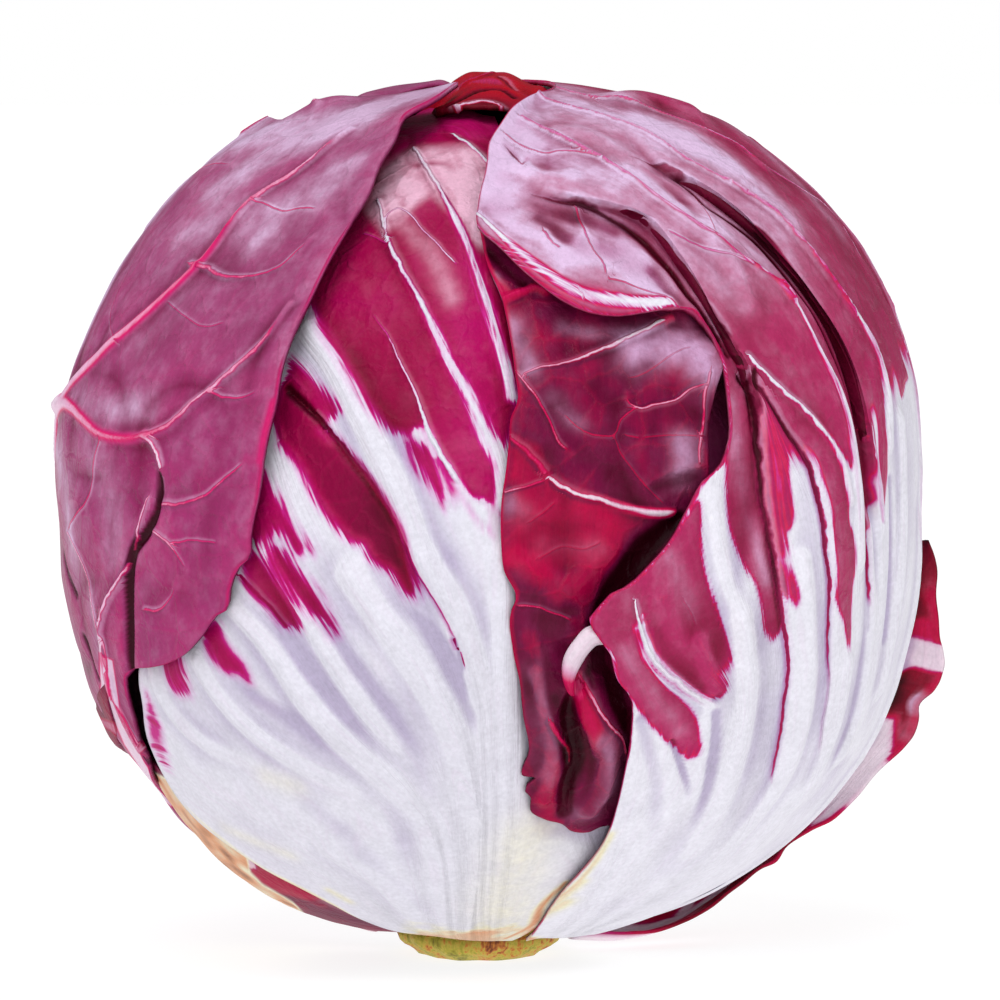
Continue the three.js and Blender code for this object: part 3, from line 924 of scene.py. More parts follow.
# ------------------------------------------------------------------ the leaves in front
def left_leaf():
    """The big mauve leaf: midrib low on the left, and a lobe that hangs over the white fan."""
    lobe_edge = seen(
        (163, 795, -1.8), (152, 765, -1.2), (137, 720, -0.5), (129, 672, 0), (140, 667, 0.6),
        (154, 666, 0.9), (171, 662, 0.9), (187, 653, 0.9), (203, 635, 0.9), (217, 615, 0.9),
        (227, 609, 0.9), (229, 592, 0.9), (240, 566, 0.9), (249, 558, 0.9), (251, 533, 0.9),
        (259, 494, 0.9), (264, 462, 0.9), (270, 430, 0.9), (276, 408, 0.9), (285, 365, 0.9), (298, 330, 1),
        (325, 272, 1.2), (350, 224, 1.4), (371, 190, 1.6), (377, 172, 1.8), (397, 140, 2), (405, 121, 2),
        (430, 105, 1.6), (458, 84, 1),
    )
    slit_line = seen(
        (152, 780, -1.4), (118, 700, 0), (106, 640, 0.2), (111, 602, 0.3), (130, 560, 0.4), (140, 500, 0.3),
        (146, 438, 0.2), (180, 370), (235, 290), (290, 215), (340, 150), (390, 94),
    )
    left_side = around((-98, 11.5, -2.5), (-112, 30, -1), (-118, 60), (-120, 95), (-121, 125), (-122, 145))
    back_edge = [(-112, 12, -2.5), (-130, 28, -1.5), (-142, 50), (-150, 80), (-153, 110), (-155, 132)]
    leaf = Leaf(
        [
            around(*back_edge, (-150, 148)),
            np.vstack([left_side, seen((250, 131))]),
            np.vstack([around((-84, 11.5, -2.6), (-86, 24, -2)), slit_line]),
            np.vstack([around((-74, 11.5, -2.6), (-72, 22, -2.2)), lobe_edge]),
        ],
        spacing=0.41,
        across=[0.9, 0.42, 0.4],
    )
    leaf.rib(drawn(215, 155, 255, 130, 300, 117, 335, 108), (2, 3.5, 3), (0.3, 1.0, 0.8))
    outward = smooth(-leaf.longitude, 50, 75) * smooth(leaf.polar, 84, 102)
    leaf.lift += 1.3 * (outward * smooth(-leaf.polar, -168, -152))
    leaf.rough(26, 0.7, 11)
    leaf.rough(9, 0.25, 12)
    leaf.crumple(13, 0.3, 13)
    leaf.rough(4, 0.07, 14)
    white_to_red = (0.12, 0.2, 0.3, 0.42, 0.5)
    leaf.ribs(
        (drawn(58, 408, 95, 372, 140, 325, 200, 265, 250, 208, 300, 175, 353, 135),
         (1.2, 1.0, 0.75, 0.5, 0.3), 0.6, white_to_red),
        (drawn(58, 411, 79, 407, 91, 419, 107, 435, 126, 439, 146, 436, 171, 427, 199, 402, 228, 380, 262,
               350, 295, 308), (1.2, 0.8, 0.6, 0.4, 0.25), 0.5, (0.1, 0.25, 0.42, 0.5)),
        (drawn(146, 436, 156, 445, 162, 460, 164, 472), (0.45, 0.3), 0.4, 0.3),
        (drawn(192, 265, 208, 268, 222, 276, 240, 278, 262, 276, 282, 270, 300, 255, 318, 240),
         (0.4, 0.22, 0.15), 0.3, (0.42, 0.5, 0.6)),
        (drawn(213, 392, 224, 398, 240, 400, 254, 397, 264, 392), (0.22, 0.12), 0.3, 0.5),
        (drawn(162, 504, 183, 504, 207, 496, 230, 478, 254, 460), (0.25, 0.15), 0.3, 0.52),
        (drawn(156, 531, 173, 543, 183, 558, 191, 570), (0.22, 0.12), 0.3, 0.5),
        (drawn(175, 543, 195, 540, 224, 543), 0.15, 0.25, 0.5),
        (drawn(148, 609, 162, 609, 173, 598, 179, 584), (0.2, 0.12), 0.3, 0.5),
        (drawn(150, 228, 165, 207, 190, 192, 210, 178, 241, 171), (0.25, 0.12), 0.3, 0.5),
        (drawn(170, 304, 185, 316, 208, 328, 232, 322), 0.14, 0.2, 0.52),
        (drawn(255, 204, 268, 207, 286, 213, 305, 210, 322, 214), 0.16, 0.2, 0.52),
        (drawn(244, 134, 262, 129, 290, 121, 324, 113), (0.6, 0.5, 0.3), 0.4, 0.42),
        (drawn(125, 346, 118, 320, 132, 285, 146, 258), 0.14, 0.2, 0.62),
        (drawn(107, 439, 99, 468, 97, 494, 85, 515, 75, 531), 0.2, 0.25, 0.5),
        (drawn(75, 531, 81, 543, 89, 564, 95, 594, 103, 635), 0.25, 0.3, 0.4),
        (drawn(150, 500, 138, 540, 126, 574, 111, 602, 106, 625, 107, 645, 110, 670, 118, 700, 150, 770),
         (0.2, 0.3, 0.3, 0.4), 0.7, (0.45, 0.35, 0.3)),
    )
    behind_side = 0.35
    leaf.ribs(
        (around((-86.5, 105), (-92, 100), (-98, 90), (-105, 78), (-112, 62), (-108, 40), (-100, 24),
                (-94, 12)), (0.9, 1.0, 1.4, 2.6), 0.9, (0.05, 0.0)),
        (around((-100, 84), (-118, 95), (-134, 112), (-142, 128)), (0.8, 0.25), 0.5, (0.1, behind_side)),
        (around((-108, 72), (-124, 78), (-138, 92), (-146, 108)), (0.8, 0.25), 0.5, (0.1, behind_side)),
        (around((-112, 56), (-126, 62), (-138, 72)), (0.8, 0.25), 0.5, (0.1, behind_side)),
        (around((-106, 36), (-122, 44), (-134, 54)), (0.8, 0.25), 0.5, (0.1, behind_side)),
        (around((-104, 102), (-118, 122), (-128, 140)), (0.4, 0.2), 0.35, behind_side),
        (around((-122, 98), (-121, 108), (-126, 118)), 0.2, 0.3, behind_side),
        (around((-128, 82), (-130, 90), (-138, 98)), 0.2, 0.3, behind_side),
        (around((-116, 76), (-118, 84), (-124, 88)), 0.2, 0.3, behind_side),
    )
    fringe = 6 * noise(leaf.flat, 7, 3)
    leaf.tone *= smooth(leaf.polar + fringe, 24, 46) * 0.95 + 0.05
    leaf.paint((99, 652, 113, 660, 120, 706, 136, 739, 154, 768, 184, 812, 160, 800, 124, 745, 100, 690),
               0.1, 4)
    leaf.rib(drawn(104, 612, 110, 650, 116, 690, 128, 722, 145, 757, 162, 785), 0.22, 0.2, 0.42)
    # painted shade, in the darkest tone, in the sunken groove along the slit
    leaf.rib(
        drawn(162, 474, 160, 506, 150, 530, 136, 548, 131, 575, 131, 625, 134, 670),
        (0.3, 0.8, 0.9, 0.9, 1.0),
        (-0.5, -1.1, -1.2, -1.6),
        1.5,
        soft=1.0,
    )
    # painted shade in three short sunken creases
    leaf.ribs(
        (drawn(67, 555, 80, 594), 0.6, -0.3, 1.4),
        (drawn(87, 637, 101, 676), 0.7, -0.4, 1.4),
        (drawn(118, 700, 130, 735, 148, 775), (0.3, 0.6, 0.5), -0.3, 1.35),
        soft=1.2,
    )
    # a pale waxy layer all over, with painted sheen growing toward the top, and painted sheen and
    # highlights, the limb's grazing reflection among them, along the strokes below
    leaf.bloom_and_sheen += 0.04 + 0.12 * smooth(leaf.polar, 90, 130)
    leaf.bloom_and_sheen_strokes(
        (drawn(262, 235, 285, 210, 320, 195, 345, 175), 3.0, 0.75),
        (drawn(140, 345, 185, 300, 225, 235), 3.4, 0.15),
        (drawn(190, 240, 245, 215), 3.0, 0.5),
        (drawn(225, 195, 290, 150, 360, 130), 3.4, 0.7),
        (drawn(200, 180, 240, 140, 300, 115), 3.0, 0.5),
        (drawn(120, 410, 150, 415), 1.6, 0.25),
        (drawn(150, 230, 220, 165, 300, 135, 350, 120, 410, 100), 5.0, (0.5, 0.6, 1.0)),
        (drawn(215, 160, 270, 140, 340, 120, 420, 95), 3.0, 0.4),
        (drawn(62, 420, 74, 380, 92, 330, 118, 280), (3.8, 3.0), (1.3, 1.2)),
        (drawn(104, 300, 140, 235, 200, 180), 3.0, 0.9),
        (drawn(66, 395, 84, 345, 104, 295), 3.0, 0.8),
        (drawn(340, 122, 390, 108, 440, 94), 2.6, 0.8),
        (drawn(66, 450, 75, 500, 80, 560), 3.0, 0.6),
        (drawn(95, 450, 115, 500, 120, 550), 3.0, 0.3),
        (drawn(95, 600, 104, 650, 112, 690), 2.0, 0.4),
        (drawn(85, 400, 120, 410, 150, 405), 2.4, 0.35),
    )
    red_rim = smooth(noise(leaf.flat, 9, 15), -0.25, 0.15)
    leaf.tone += (0.5 - leaf.tone) * red_rim * smooth(0.4 - leaf.margin_right, 0, 0.4)
    leaf.rib(drawn(266, 462, 271, 430, 278, 405), 0.5, 0.2, 0.5)
    leaf.lift += 0.2 * bell(leaf.margin_right / 2.5)
    add_piece("left_leaf_blade", "left_leaf", [leaf_solid(leaf, 0.55)], MAUVE)


def front_leaf():
    """The crimson leaf in the middle, with a fan of white ribs from the stem."""
    leaf = Leaf(
        [
            seen(
                (436, 935, 0.2), (400, 932, 0.2), (330, 903), (250, 862), (182, 805), (150, 745, -0.2),
                (140, 690, -0.5), (139, 650, -2), (148, 560, -3.2), (170, 460, -3.6), (220, 330, -3.6),
                (300, 215, -3.4), (380, 140, -3.2), (430, 108, -3.4),
            ),
            seen(
                (450, 937, 0.3), (405, 900, 0.3), (330, 810), (270, 710, -0.3), (245, 610, -0.8),
                (250, 500, -1.6), (280, 390, -2.2), (330, 280, -2.4), (390, 180, -2.6), (445, 112, -3),
            ),
            seen(
                (468, 939, 0.3), (450, 880, 0.3), (415, 770), (380, 660, -0.3), (345, 540, -0.9),
                (330, 430, -1.4), (350, 310, -1.8), (400, 200, -2.2), (455, 112, -2.8),
            ),
            seen(
                (486, 940, 0.3), (500, 880, 0.2), (510, 820, -0.4), (510, 760, -1.1), (505, 700, -1.4),
                (496, 620, -1.5), (482, 520, -1.6), (465, 400, -1.9), (458, 280, -2.1), (462, 190, -2.4),
                (470, 112, -2.8),
            ),
            seen(
                (500, 940, 0.2), (530, 890, -0.3), (552, 850, -1.0), (556, 825, -2.4), (548, 780, -3.6),
                (540, 700, -3.8), (540, 620, -4.0), (535, 520, -4.2), (525, 400, -4.4), (515, 290, -4.2),
                (500, 190, -3.8), (484, 116, -3.3),
            ),
            seen(
                (512, 940, 0), (540, 925, -0.4), (575, 890, -1.0), (598, 860, -1.6), (608, 835, -2.6),
                (625, 780, -3.8), (640, 720, -4.4), (620, 650, -4.4), (590, 520, -4.8), (560, 400, -5),
                (540, 290, -4.8), (515, 190, -4.2), (495, 118, -3.6),
            ),
        ],
        spacing=0.36,
        across=[0.36, 0.36, 0.36, 0.5, 0.8],
    )
    leaf.follow(
        drawn(436, 938, 330, 890, 235, 840, 182, 800),
        drawn(445, 938, 350, 790, 299, 764, 253, 733, 222, 703, 194, 662),
        drawn(455, 938, 413, 805, 375, 769, 329, 728, 299, 693, 263, 644, 227, 606),
        drawn(462, 938, 440, 830, 410, 760, 370, 715, 330, 660, 290, 600, 262, 548, 240, 480),
        drawn(470, 938, 477, 802, 464, 754, 426, 682, 375, 611, 350, 575, 300, 480, 275, 400),
        drawn(480, 938, 480, 800, 475, 700, 423, 560, 391, 480, 359, 417, 327, 356, 300, 320, 290, 250),
        drawn(488, 938, 487, 764, 485, 713, 467, 637, 426, 520, 400, 440, 370, 340, 350, 250, 345, 190),
        drawn(492, 938, 500, 700, 505, 560, 505, 500, 485, 430, 447, 354, 413, 286, 386, 235, 373, 187),
        drawn(500, 938, 520, 700, 520, 500, 512, 389, 500, 338, 478, 271, 453, 206, 432, 168, 410, 132),
    )
    # relief: broad ridges that fan out of the stem, and the hollows between them
    leaf.ribs(
        (drawn(227, 606, 263, 644, 299, 693, 329, 728, 375, 769, 413, 805), (1.0, 1.7, 2.2),
         (0.9, 1.3, 0.3)),
        (drawn(194, 662, 222, 703, 253, 733, 299, 764, 350, 790), (1.0, 1.6), (0.8, 1.0, 0.2)),
        (drawn(350, 575, 375, 611, 401, 644, 426, 682, 447, 718, 464, 754, 477, 802), (1.8, 2.2),
         (1.2, 1.3, 0.2)),
        (drawn(426, 560, 452, 598, 467, 637, 477, 675, 485, 713, 487, 764), 1.6, (1.0, 1.0, 0.1)),
        (drawn(146, 670, 171, 713, 204, 744, 248, 762), 1.1, (0.8, 0.7, 0.1)),
        (drawn(300, 320, 327, 356, 359, 417, 391, 480, 423, 560, 455, 628, 475, 700), 1.6, (1.2, 1.5, 0.4)),
        (drawn(255, 545, 290, 600, 330, 660, 370, 715, 410, 760), (0.8, 1.3), (0.7, 0.9, 0.1)),
        (drawn(215, 668, 245, 694, 275, 714, 324, 748, 370, 785), (1.0, 1.8, 1.2),
         (0, -0.35, -0.3, -0.1, 0)),
        (drawn(325, 620, 350, 660, 380, 700, 410, 750, 435, 800), (1.2, 2.2, 1.4),
         (0, -0.35, -0.4, -0.2, 0)),
        (drawn(405, 605, 430, 634, 455, 668, 469, 705, 474, 745), (0.6, 1.4, 0.8),
         (0, -0.35, -0.5, -0.2, 0)),
        (drawn(265, 610, 300, 660, 335, 705, 370, 750, 400, 800), (0.8, 1.6, 1.2),
         (0, -0.35, -0.3, -0.1, 0)),
        (drawn(330, 850, 380, 880, 420, 915), 1.4, 0.4),
        (drawn(500, 560, 505, 640, 506, 720), 1.4, 0.5),
        (drawn(380, 780, 400, 830, 425, 890), 2.4, (0, -0.4, 0)),
        (drawn(290, 790, 340, 830, 390, 870), 2.2, (0, -0.3, 0)),
    )
    leaf.rough(14, 0.3, 21)
    leaf.rough(5, 0.1, 22)
    leaf.crumple(5, 0.16, 23, smooth(leaf.polar, 128, 145))
    leaf.tone[:] = 0.0
    # the blade between the ribs, each field fraying into white down its fibres
    leaf.patches(
        (drawn(290, 270, 305, 300, 318, 322, 329, 340, 340, 359, 355, 382, 373, 410, 390, 428, 409, 430,
               423, 424, 434, 448, 452, 473, 467, 496, 480, 517, 495, 532, 500, 515, 499, 494, 503, 450,
               512, 425, 520, 389, 540, 340, 545, 200, 520, 105, 470, 90, 400, 95, 330, 150, 290, 220),
         0.98),
        (drawn(403, 440, 424, 443, 439, 468, 449, 494, 448, 508, 434, 491, 419, 473, 409, 456), 0.75),
        # painted shade: the stripe tucked under the left leaf is darkened
        (drawn(273, 440, 294, 463, 314, 499, 340, 531, 352, 541, 362, 543, 370, 557, 381, 566, 391, 571,
               400, 585, 408, 597, 414, 601, 410, 578, 405, 560, 396, 527, 373, 489, 342, 451, 317, 420,
               281, 372, 268, 400), 1.35),
        (drawn(281, 352, 291, 359, 307, 377, 332, 412, 315, 416, 290, 388), 1.0),
        (drawn(255, 470, 266, 491, 276, 504, 286, 524, 307, 555, 294, 553, 278, 535, 268, 530, 258, 545,
               245, 540), 0.85),
        (drawn(262, 548, 276, 553, 296, 573, 312, 591, 324, 611, 335, 639, 317, 624, 299, 606, 284, 586,
               268, 570), 0.85),
        (drawn(235, 560, 250, 553, 268, 575, 284, 593, 296, 621, 299, 632, 284, 629, 263, 606, 245, 588),
         0.85),
        (drawn(197, 632, 213, 626, 221, 645, 229, 656, 239, 668, 248, 686, 237, 677, 225, 673, 212, 662,
               204, 650), 0.85),
        (drawn(150, 655, 172, 655, 182, 678, 188, 697, 172, 692, 163, 678), 0.7),
        (drawn(143, 694, 154, 712, 161, 736, 167, 770, 156, 757, 146, 720), 0.45),
        soft=3.2,
    )
    leaf.feather(
        (309, 562), (338, 648), (303, 641), (254, 692), (191, 704), (414, 606), (396, 602), (372, 578),
        (450, 518), (330, 430), (318, 632), (170, 780), (498, 544), (322, 366),
    )
    # painted shadow under the left leaf's rim, and painted shade along the fold and in the sunken marks
    leaf.ribs(
        (drawn(235, 578, 263, 606, 286, 632), 0.3, -0.15, 0.9),
        (drawn(279, 382, 300, 402, 322, 428), (0.7, 0.7, 0.3), -0.4, (1.4, 1.4, 1.1)),
        (drawn(281, 387, 317, 420, 342, 451, 373, 489, 396, 527, 414, 568, 434, 601, 454, 637, 463, 668),
         (0.3, 0.35, 0.2, 0.15), -0.4, (1.3, 1.2, 0.7, 0.45, 0.3)),
        (drawn(454, 640, 460, 655, 465, 672), (0.25, 0.3, 0.1), -0.5, 1.1),
    )
    # painted sheen on the pale top of the leaf
    pale = (384, 165, 410, 148, 440, 146, 470, 146, 490, 160, 484, 200, 486, 250, 474, 240, 455, 215, 430,
            195, 415, 205, 400, 222, 384, 235, 366, 210)
    leaf.paint(pale, 0.8, soft=12, layer="bloom_and_sheen")
    leaf.paint((380, 100, 510, 96, 500, 135, 470, 140, 440, 128, 410, 150, 384, 170, 370, 150), 0.75,
               soft=9)
    # white ribs over the upper blade
    leaf.ribs(
        (drawn(410, 132, 432, 168, 453, 206, 468, 239, 478, 271, 489, 302, 500, 338, 508, 365, 512, 389),
         (0.25, 0.4, 0.6, 0.7, 0.75, 0.7), 0.5, (0.3, 0.1, 0.0)),
        (drawn(373, 187, 380, 214, 386, 235, 398, 260, 413, 286, 430, 317, 447, 354, 465, 387, 485, 430,
               503, 465, 505, 500), (0.25, 0.4, 0.6, 1.0, 1.4), (0.4, 0.6), (0.2, 0.0)),
        (drawn(370, 310, 383, 328, 396, 354, 409, 382, 419, 405, 425, 425, 436, 448, 452, 473, 467, 496,
               490, 520), (0.12, 0.2, 0.35, 0.9), 0.3, (0.35, 0.1, 0.0)),
        (drawn(384, 229, 386, 202, 394, 197, 407, 204, 419, 218, 440, 239, 461, 263), 0.16, 0.2, 0.3),
        (drawn(360, 223, 377, 231, 386, 236), 0.14, 0.2, 0.3),
        (drawn(451, 118, 468, 130, 490, 145), (0.2, 0.4, 0.45), 0.3, 0.1),
        (drawn(413, 430, 424, 436, 434, 450), 0.5, 0.2, 0.05),
    )
    leaf.patch(drawn(480, 495, 492, 502, 500, 520, 500, 545, 492, 538, 484, 515), 0.05, soft=1.2)
    # painted sheen over the top
    leaf.bloom_and_sheen_strokes(
        (drawn(395, 185, 430, 165, 480, 175), 3.0, 0.5),
        (drawn(470, 175, 485, 200, 478, 225), 1.6, 0.5),
        (drawn(400, 215, 425, 240, 450, 290), 1.4, 0.3),
    )
    leaf.stain += 0.9 * smooth(-leaf.polar, -24, -13)
    leaf.stain += smooth(-leaf.polar, -19, -14) * (0.3 + 2.2 * np.clip(noise(leaf.flat, 3.5, 24), 0, 0.6))
    leaf.marks(
        (drawn(498, 938, 510, 890, 530, 840), (3.0, 5.0, 5.0), 0.6),
        (drawn(505, 937, 530, 928, 545, 905, 566, 888), (0.7, 1.0, 0.5), 2.1),
        (drawn(265, 778, 295, 788), 1.8, 0.4),
        (drawn(225, 830, 290, 856), 1.4, 0.4),
        (drawn(330, 890, 350, 900), 0.9, 0.9),
        (drawn(186, 808, 250, 862, 330, 903, 398, 936), 0.7, (0.6, 1.2, 1.6)),
    )
    # the torn base edge has browned
    right, down = front_view(place(leaf.directions, leaf.lift))
    wander = 7 * noise(leaf.flat, 2.5, 25) + 2.5 * noise(leaf.flat, 0.9, 26)
    browned = smooth(right, 395, 415) * smooth(-down - wander, -940, -931) * bell((down + wander - 936) / 7)
    browned = np.maximum(browned, 0.9 * smooth(down + wander, 931, 936) * smooth(right, 395, 415))
    leaf.stain = np.maximum(leaf.stain, 2.2 * browned * (0.7 + 0.5 * noise(leaf.flat, 4, 27)))
    add_piece("front_leaf_blade", "front_leaf", [leaf_solid(leaf, 0.7)], CRIMSON)


def crumpled_leaf():
    """The dark wine leaf in the gap, with a torn lobe that hangs over the white fan."""
    leaf = Leaf(
        [
            seen(
                (556, 935, -3.6), (585, 905, -3.3), (610, 878, -2.8), (623, 850, -2.2), (615, 828, -1.5),
                (602, 828, -1.2), (589, 833, -1.1), (572, 831, -1.1), (562, 823, -1.1), (545, 818, -1.1),
                (531, 811, -1.1), (530, 796, -1.1), (525, 791, -1.1), (527, 786, -1.1), (536, 778, -1.2),
                (523, 776, -1.2), (529, 753, -1.2), (523, 714, -1.3), (520, 684, -1.4), (513, 650, -1.5),
                (511, 612, -1.6), (516, 599, -1.6), (504, 570, -1.6), (501, 540, -1.6), (502, 497, -1.6),
                (506, 470, -1.7), (509, 440, -1.8), (511, 417, -1.9), (517, 403, -2), (515, 370, -2.1),
                (510, 335, -2.2), (501, 297, -2.3), (488, 265, -2.4), (480, 230, -2.6),
            ),
            seen(
                (580, 928, -3.8), (612, 890, -3.4), (632, 850, -2.9), (628, 812, -2.1), (606, 785, -1.5),
                (590, 740, -1.8), (580, 690, -2), (575, 640, -2), (575, 560, -2.2), (580, 460, -2.2),
                (585, 380, -2.3), (580, 320, -2.6), (555, 270, -2.9), (520, 225, -3.1),
            ),
            seen(
                (600, 915, -3.8), (645, 850, -3.4), (655, 790, -3.4), (648, 700, -3.4), (645, 600, -3.2),
                (650, 500, -2.6), (650, 420, -2.2), (645, 360, -2.3), (635, 310, -2.8), (620, 270, -3.2),
                (590, 230, -3.4),
            ),
            seen(
                (620, 905, -4), (690, 820, -4.2), (715, 740, -4.2), (725, 640, -3.8), (715, 540, -3.4),
                (708, 460, -2.4), (714, 397, -2.2), (722, 350, -2.4), (708, 320, -2.8), (690, 290, -3.2),
                (660, 250, -3.4),
            ),
        ],
        spacing=0.32,
    )
    leaf.rough(8, 0.4, 31)
    leaf.crumple(11, 0.35, 33, smooth(leaf.polar, 60, 75))
    leaf.crumple(6, 0.1, 34, smooth(leaf.polar, 60, 75))
    leaf.rough(3, 0.14, 32)
    leaf.ribs(
        (drawn(524, 369, 542, 362, 561, 359, 579, 354, 597, 346, 619, 337, 638, 328, 656, 320, 678, 309),
         (0.15, 0.2, 0.3, 0.4, 0.45), (0.4, 0.7), (0.48, 0.45, 0.4, 0.2, 0.1)),
        (drawn(518, 368, 531, 384, 544, 403, 553, 423, 561, 439, 574, 451), 0.18, 0.3, 0.5),
        (drawn(712, 380, 697, 385, 681, 396, 665, 399, 642, 403, 633, 396, 633, 387), (0.14, 0.2, 0.14),
         0.3, (0.45, 0.42, 0.5)),
        (drawn(638, 371, 651, 367, 661, 361, 679, 348, 704, 338), 0.1, 0.2, 0.45),
        (drawn(642, 403, 626, 416, 619, 432, 604, 433, 585, 427, 572, 416, 561, 405), 0.13, 0.2, 0.42),
        (drawn(619, 432, 626, 451, 638, 468, 651, 484, 669, 501, 676, 509), 0.12, 0.2, 0.42),
        (drawn(631, 432, 647, 435), 0.12, 0.1, 0.35),
        (drawn(651, 434, 686, 432, 710, 433), 0.1, 0.1, 0.45),
        (drawn(549, 476, 567, 487, 585, 495, 606, 500, 629, 507, 651, 512, 682, 514), (0.4, 0.55, 0.6),
         (0.2, 0.5, 0.7), (0.15, 0.0)),
        (drawn(513, 437, 526, 448, 538, 460, 549, 475), (0.25, 0.4), 0.3, (0.5, 0.42)),
        (drawn(505, 492, 522, 487, 549, 478), 0.16, 0.2, 0.4),
        (drawn(520, 608, 540, 610, 557, 617, 577, 625), 0.16, 0.3, 0.45),
        (drawn(530, 523, 548, 510, 560, 500), 0.1, 0.2, 0.55),
        (drawn(540, 560, 565, 548, 590, 550, 610, 540), 0.1, 0.2, 0.6),
    )
    # crumples: hollows and ridges across the blade
    leaf.ribs(
        (drawn(535, 330, 560, 340, 600, 335), 2.4, (-0.1, -0.3, -0.1)),
        (drawn(545, 380, 560, 400, 566, 425), 2.0, (-0.1, -0.35, -0.1)),
        (drawn(600, 380, 620, 400), 2.0, -0.25),
        (drawn(590, 450, 620, 480, 640, 495), 2.4, (-0.1, -0.35, -0.1)),
        (drawn(660, 420, 690, 415), 2.0, -0.2),
        (drawn(520, 520, 550, 535, 590, 530), 2.4, (-0.1, -0.3, -0.1)),
        (drawn(515, 560, 545, 580, 580, 590), 1.8, 0.6),
        (drawn(530, 640, 545, 660, 555, 690), 1.4, 0.5),
        (drawn(560, 600, 590, 575, 615, 560), 1.6, 0.5),
    )
    # the hanging lobe: two rolls with a deep valley between them, painted dark as shade
    leaf.ribs(
        (drawn(583, 690, 572, 715, 572, 745, 576, 770, 568, 795, 565, 818), (0.8, 1.4, 1.1, 0.4), -1.3,
         (1.2, 1.35, 1.25, 1.1)),
        (drawn(537, 676, 546, 710, 556, 745, 552, 780, 545, 805), (0.8, 1.3, 1.0), 0.9),
        (drawn(552, 724, 560, 741, 572, 759, 573, 775), 0.35, 0.5, 0.6),
        (drawn(598, 690, 607, 720, 614, 750, 608, 785, 592, 815), (1.0, 1.7, 1.4), 1.5),
        soft=1.2,
    )
    # painted shade in the near black hole beside the lobe; the lobe itself is painted dark plum, deepened
    # inside its curl as painted shade, with its pale rolled rim
    leaf.patch(drawn(597, 646, 609, 652, 612, 671, 629, 696, 634, 715, 629, 748, 616, 729, 602, 706, 589,
                     683), 1.45, soft=1.0)
    leaf.paint((578, 690, 600, 688, 632, 745, 630, 800, 604, 832, 562, 826, 590, 790, 596, 750), 1.22, 5)
    leaf.paints(
        ((541, 640, 566, 690, 576, 715, 586, 748, 584, 782, 568, 800, 562, 775, 556, 740, 546, 700), 1.3,
         8),
        ((568, 672, 582, 678, 594, 704, 608, 728, 628, 750, 634, 775, 626, 812, 606, 832, 568, 828, 571,
          802, 587, 780, 590, 752, 579, 716, 569, 692), 1.12, 4),
        ((566, 668, 581, 672, 592, 698, 600, 726, 592, 744, 582, 722, 573, 702, 566, 690), 0.62, 12),
        ((568, 672, 580, 674, 586, 690, 578, 698, 569, 690), 0.4, 5),
    )
    leaf.rib(drawn(583, 682, 596, 704, 610, 726, 627, 746, 633, 768), 0.25, 0.3, (0.4, 0.5, 0.55))
    leaf.rib(drawn(588, 700, 598, 728, 606, 760, 604, 800), 1.0, 0.5)
    # pale bloom and painted highlights on the lobe's rolls
    leaf.bloom_and_sheen_strokes(
        (drawn(606, 745, 616, 770, 608, 805), 1.6, 0.3),
        (drawn(575, 820, 598, 822), 1.2, 0.25),
        (drawn(535, 680, 548, 720, 550, 780), 2.0, 0.15),
    )
    leaf.fold(drawn(570, 684, 577, 704, 584, 729, 592, 746, 597, 766), 1.0, spread=2.5, edge=0.4)
    # painted shadow where the right leaf's margin overhangs
    leaf.ribs(
        (drawn(486, 237, 505, 258, 528, 278), 0.8, -0.3, 1.2),
        (drawn(688, 520, 660, 545, 635, 575, 615, 602, 600, 630), (1.0, 2.2, 2.0, 1.2), -0.8, 1.5),
        (drawn(661, 487, 685, 480, 704, 476), (0.8, 1.2), -0.2, 1.2),
        soft=1.6,
    )
    leaf.rib(drawn(499, 295, 510, 289, 523, 283, 537, 278, 547, 282), 0.5, 0.7, (0.5, 0.45))
    leaf.patch(drawn(489, 260, 497, 268, 511, 287, 499, 292, 492, 280), 0.55, soft=1.0)
    # painted sheen and highlights over the crumples
    leaf.bloom_and_sheen_strokes(
        (drawn(512, 318, 520, 345, 528, 362), 1.6, 0.6),
        (drawn(565, 318, 600, 326, 650, 322), 1.0, 0.4),
        (drawn(640, 345, 675, 338, 705, 345, 712, 362), 2.6, 1.0),
        (drawn(556, 395, 568, 412, 582, 420), 1.2, 0.25),
        (drawn(690, 440, 692, 460, 690, 472), 1.8, 0.6),
        (drawn(545, 545, 575, 550, 600, 548), 1.4, 0.2),
        (drawn(512, 505, 525, 515), 1.5, 0.3),
        (drawn(492, 268, 500, 285), 0.8, 0.8),
    )
    leaf.paint((514, 435, 540, 445, 552, 470, 530, 486, 508, 480), 0.68, 14)
    leaf.paint((520, 460, 600, 500, 640, 520, 600, 560, 545, 575, 505, 560), 0.72, 22)
    pale_edge = smooth(0.6 - leaf.margin_left, 0.1, 0.4) * smooth(leaf.polar, 60, 80)
    leaf.tone += (0.5 - leaf.tone) * pale_edge
    leaf.rib(drawn(717, 368, 712, 397, 713, 420, 709, 433, 706, 467), 0.25, 0.2, 0.45)
    solids = [leaf_solid(leaf, 0.6), curled_rim()]
    add_piece("crumpled_leaf_blade", "crumpled_leaf", solids, WINE)


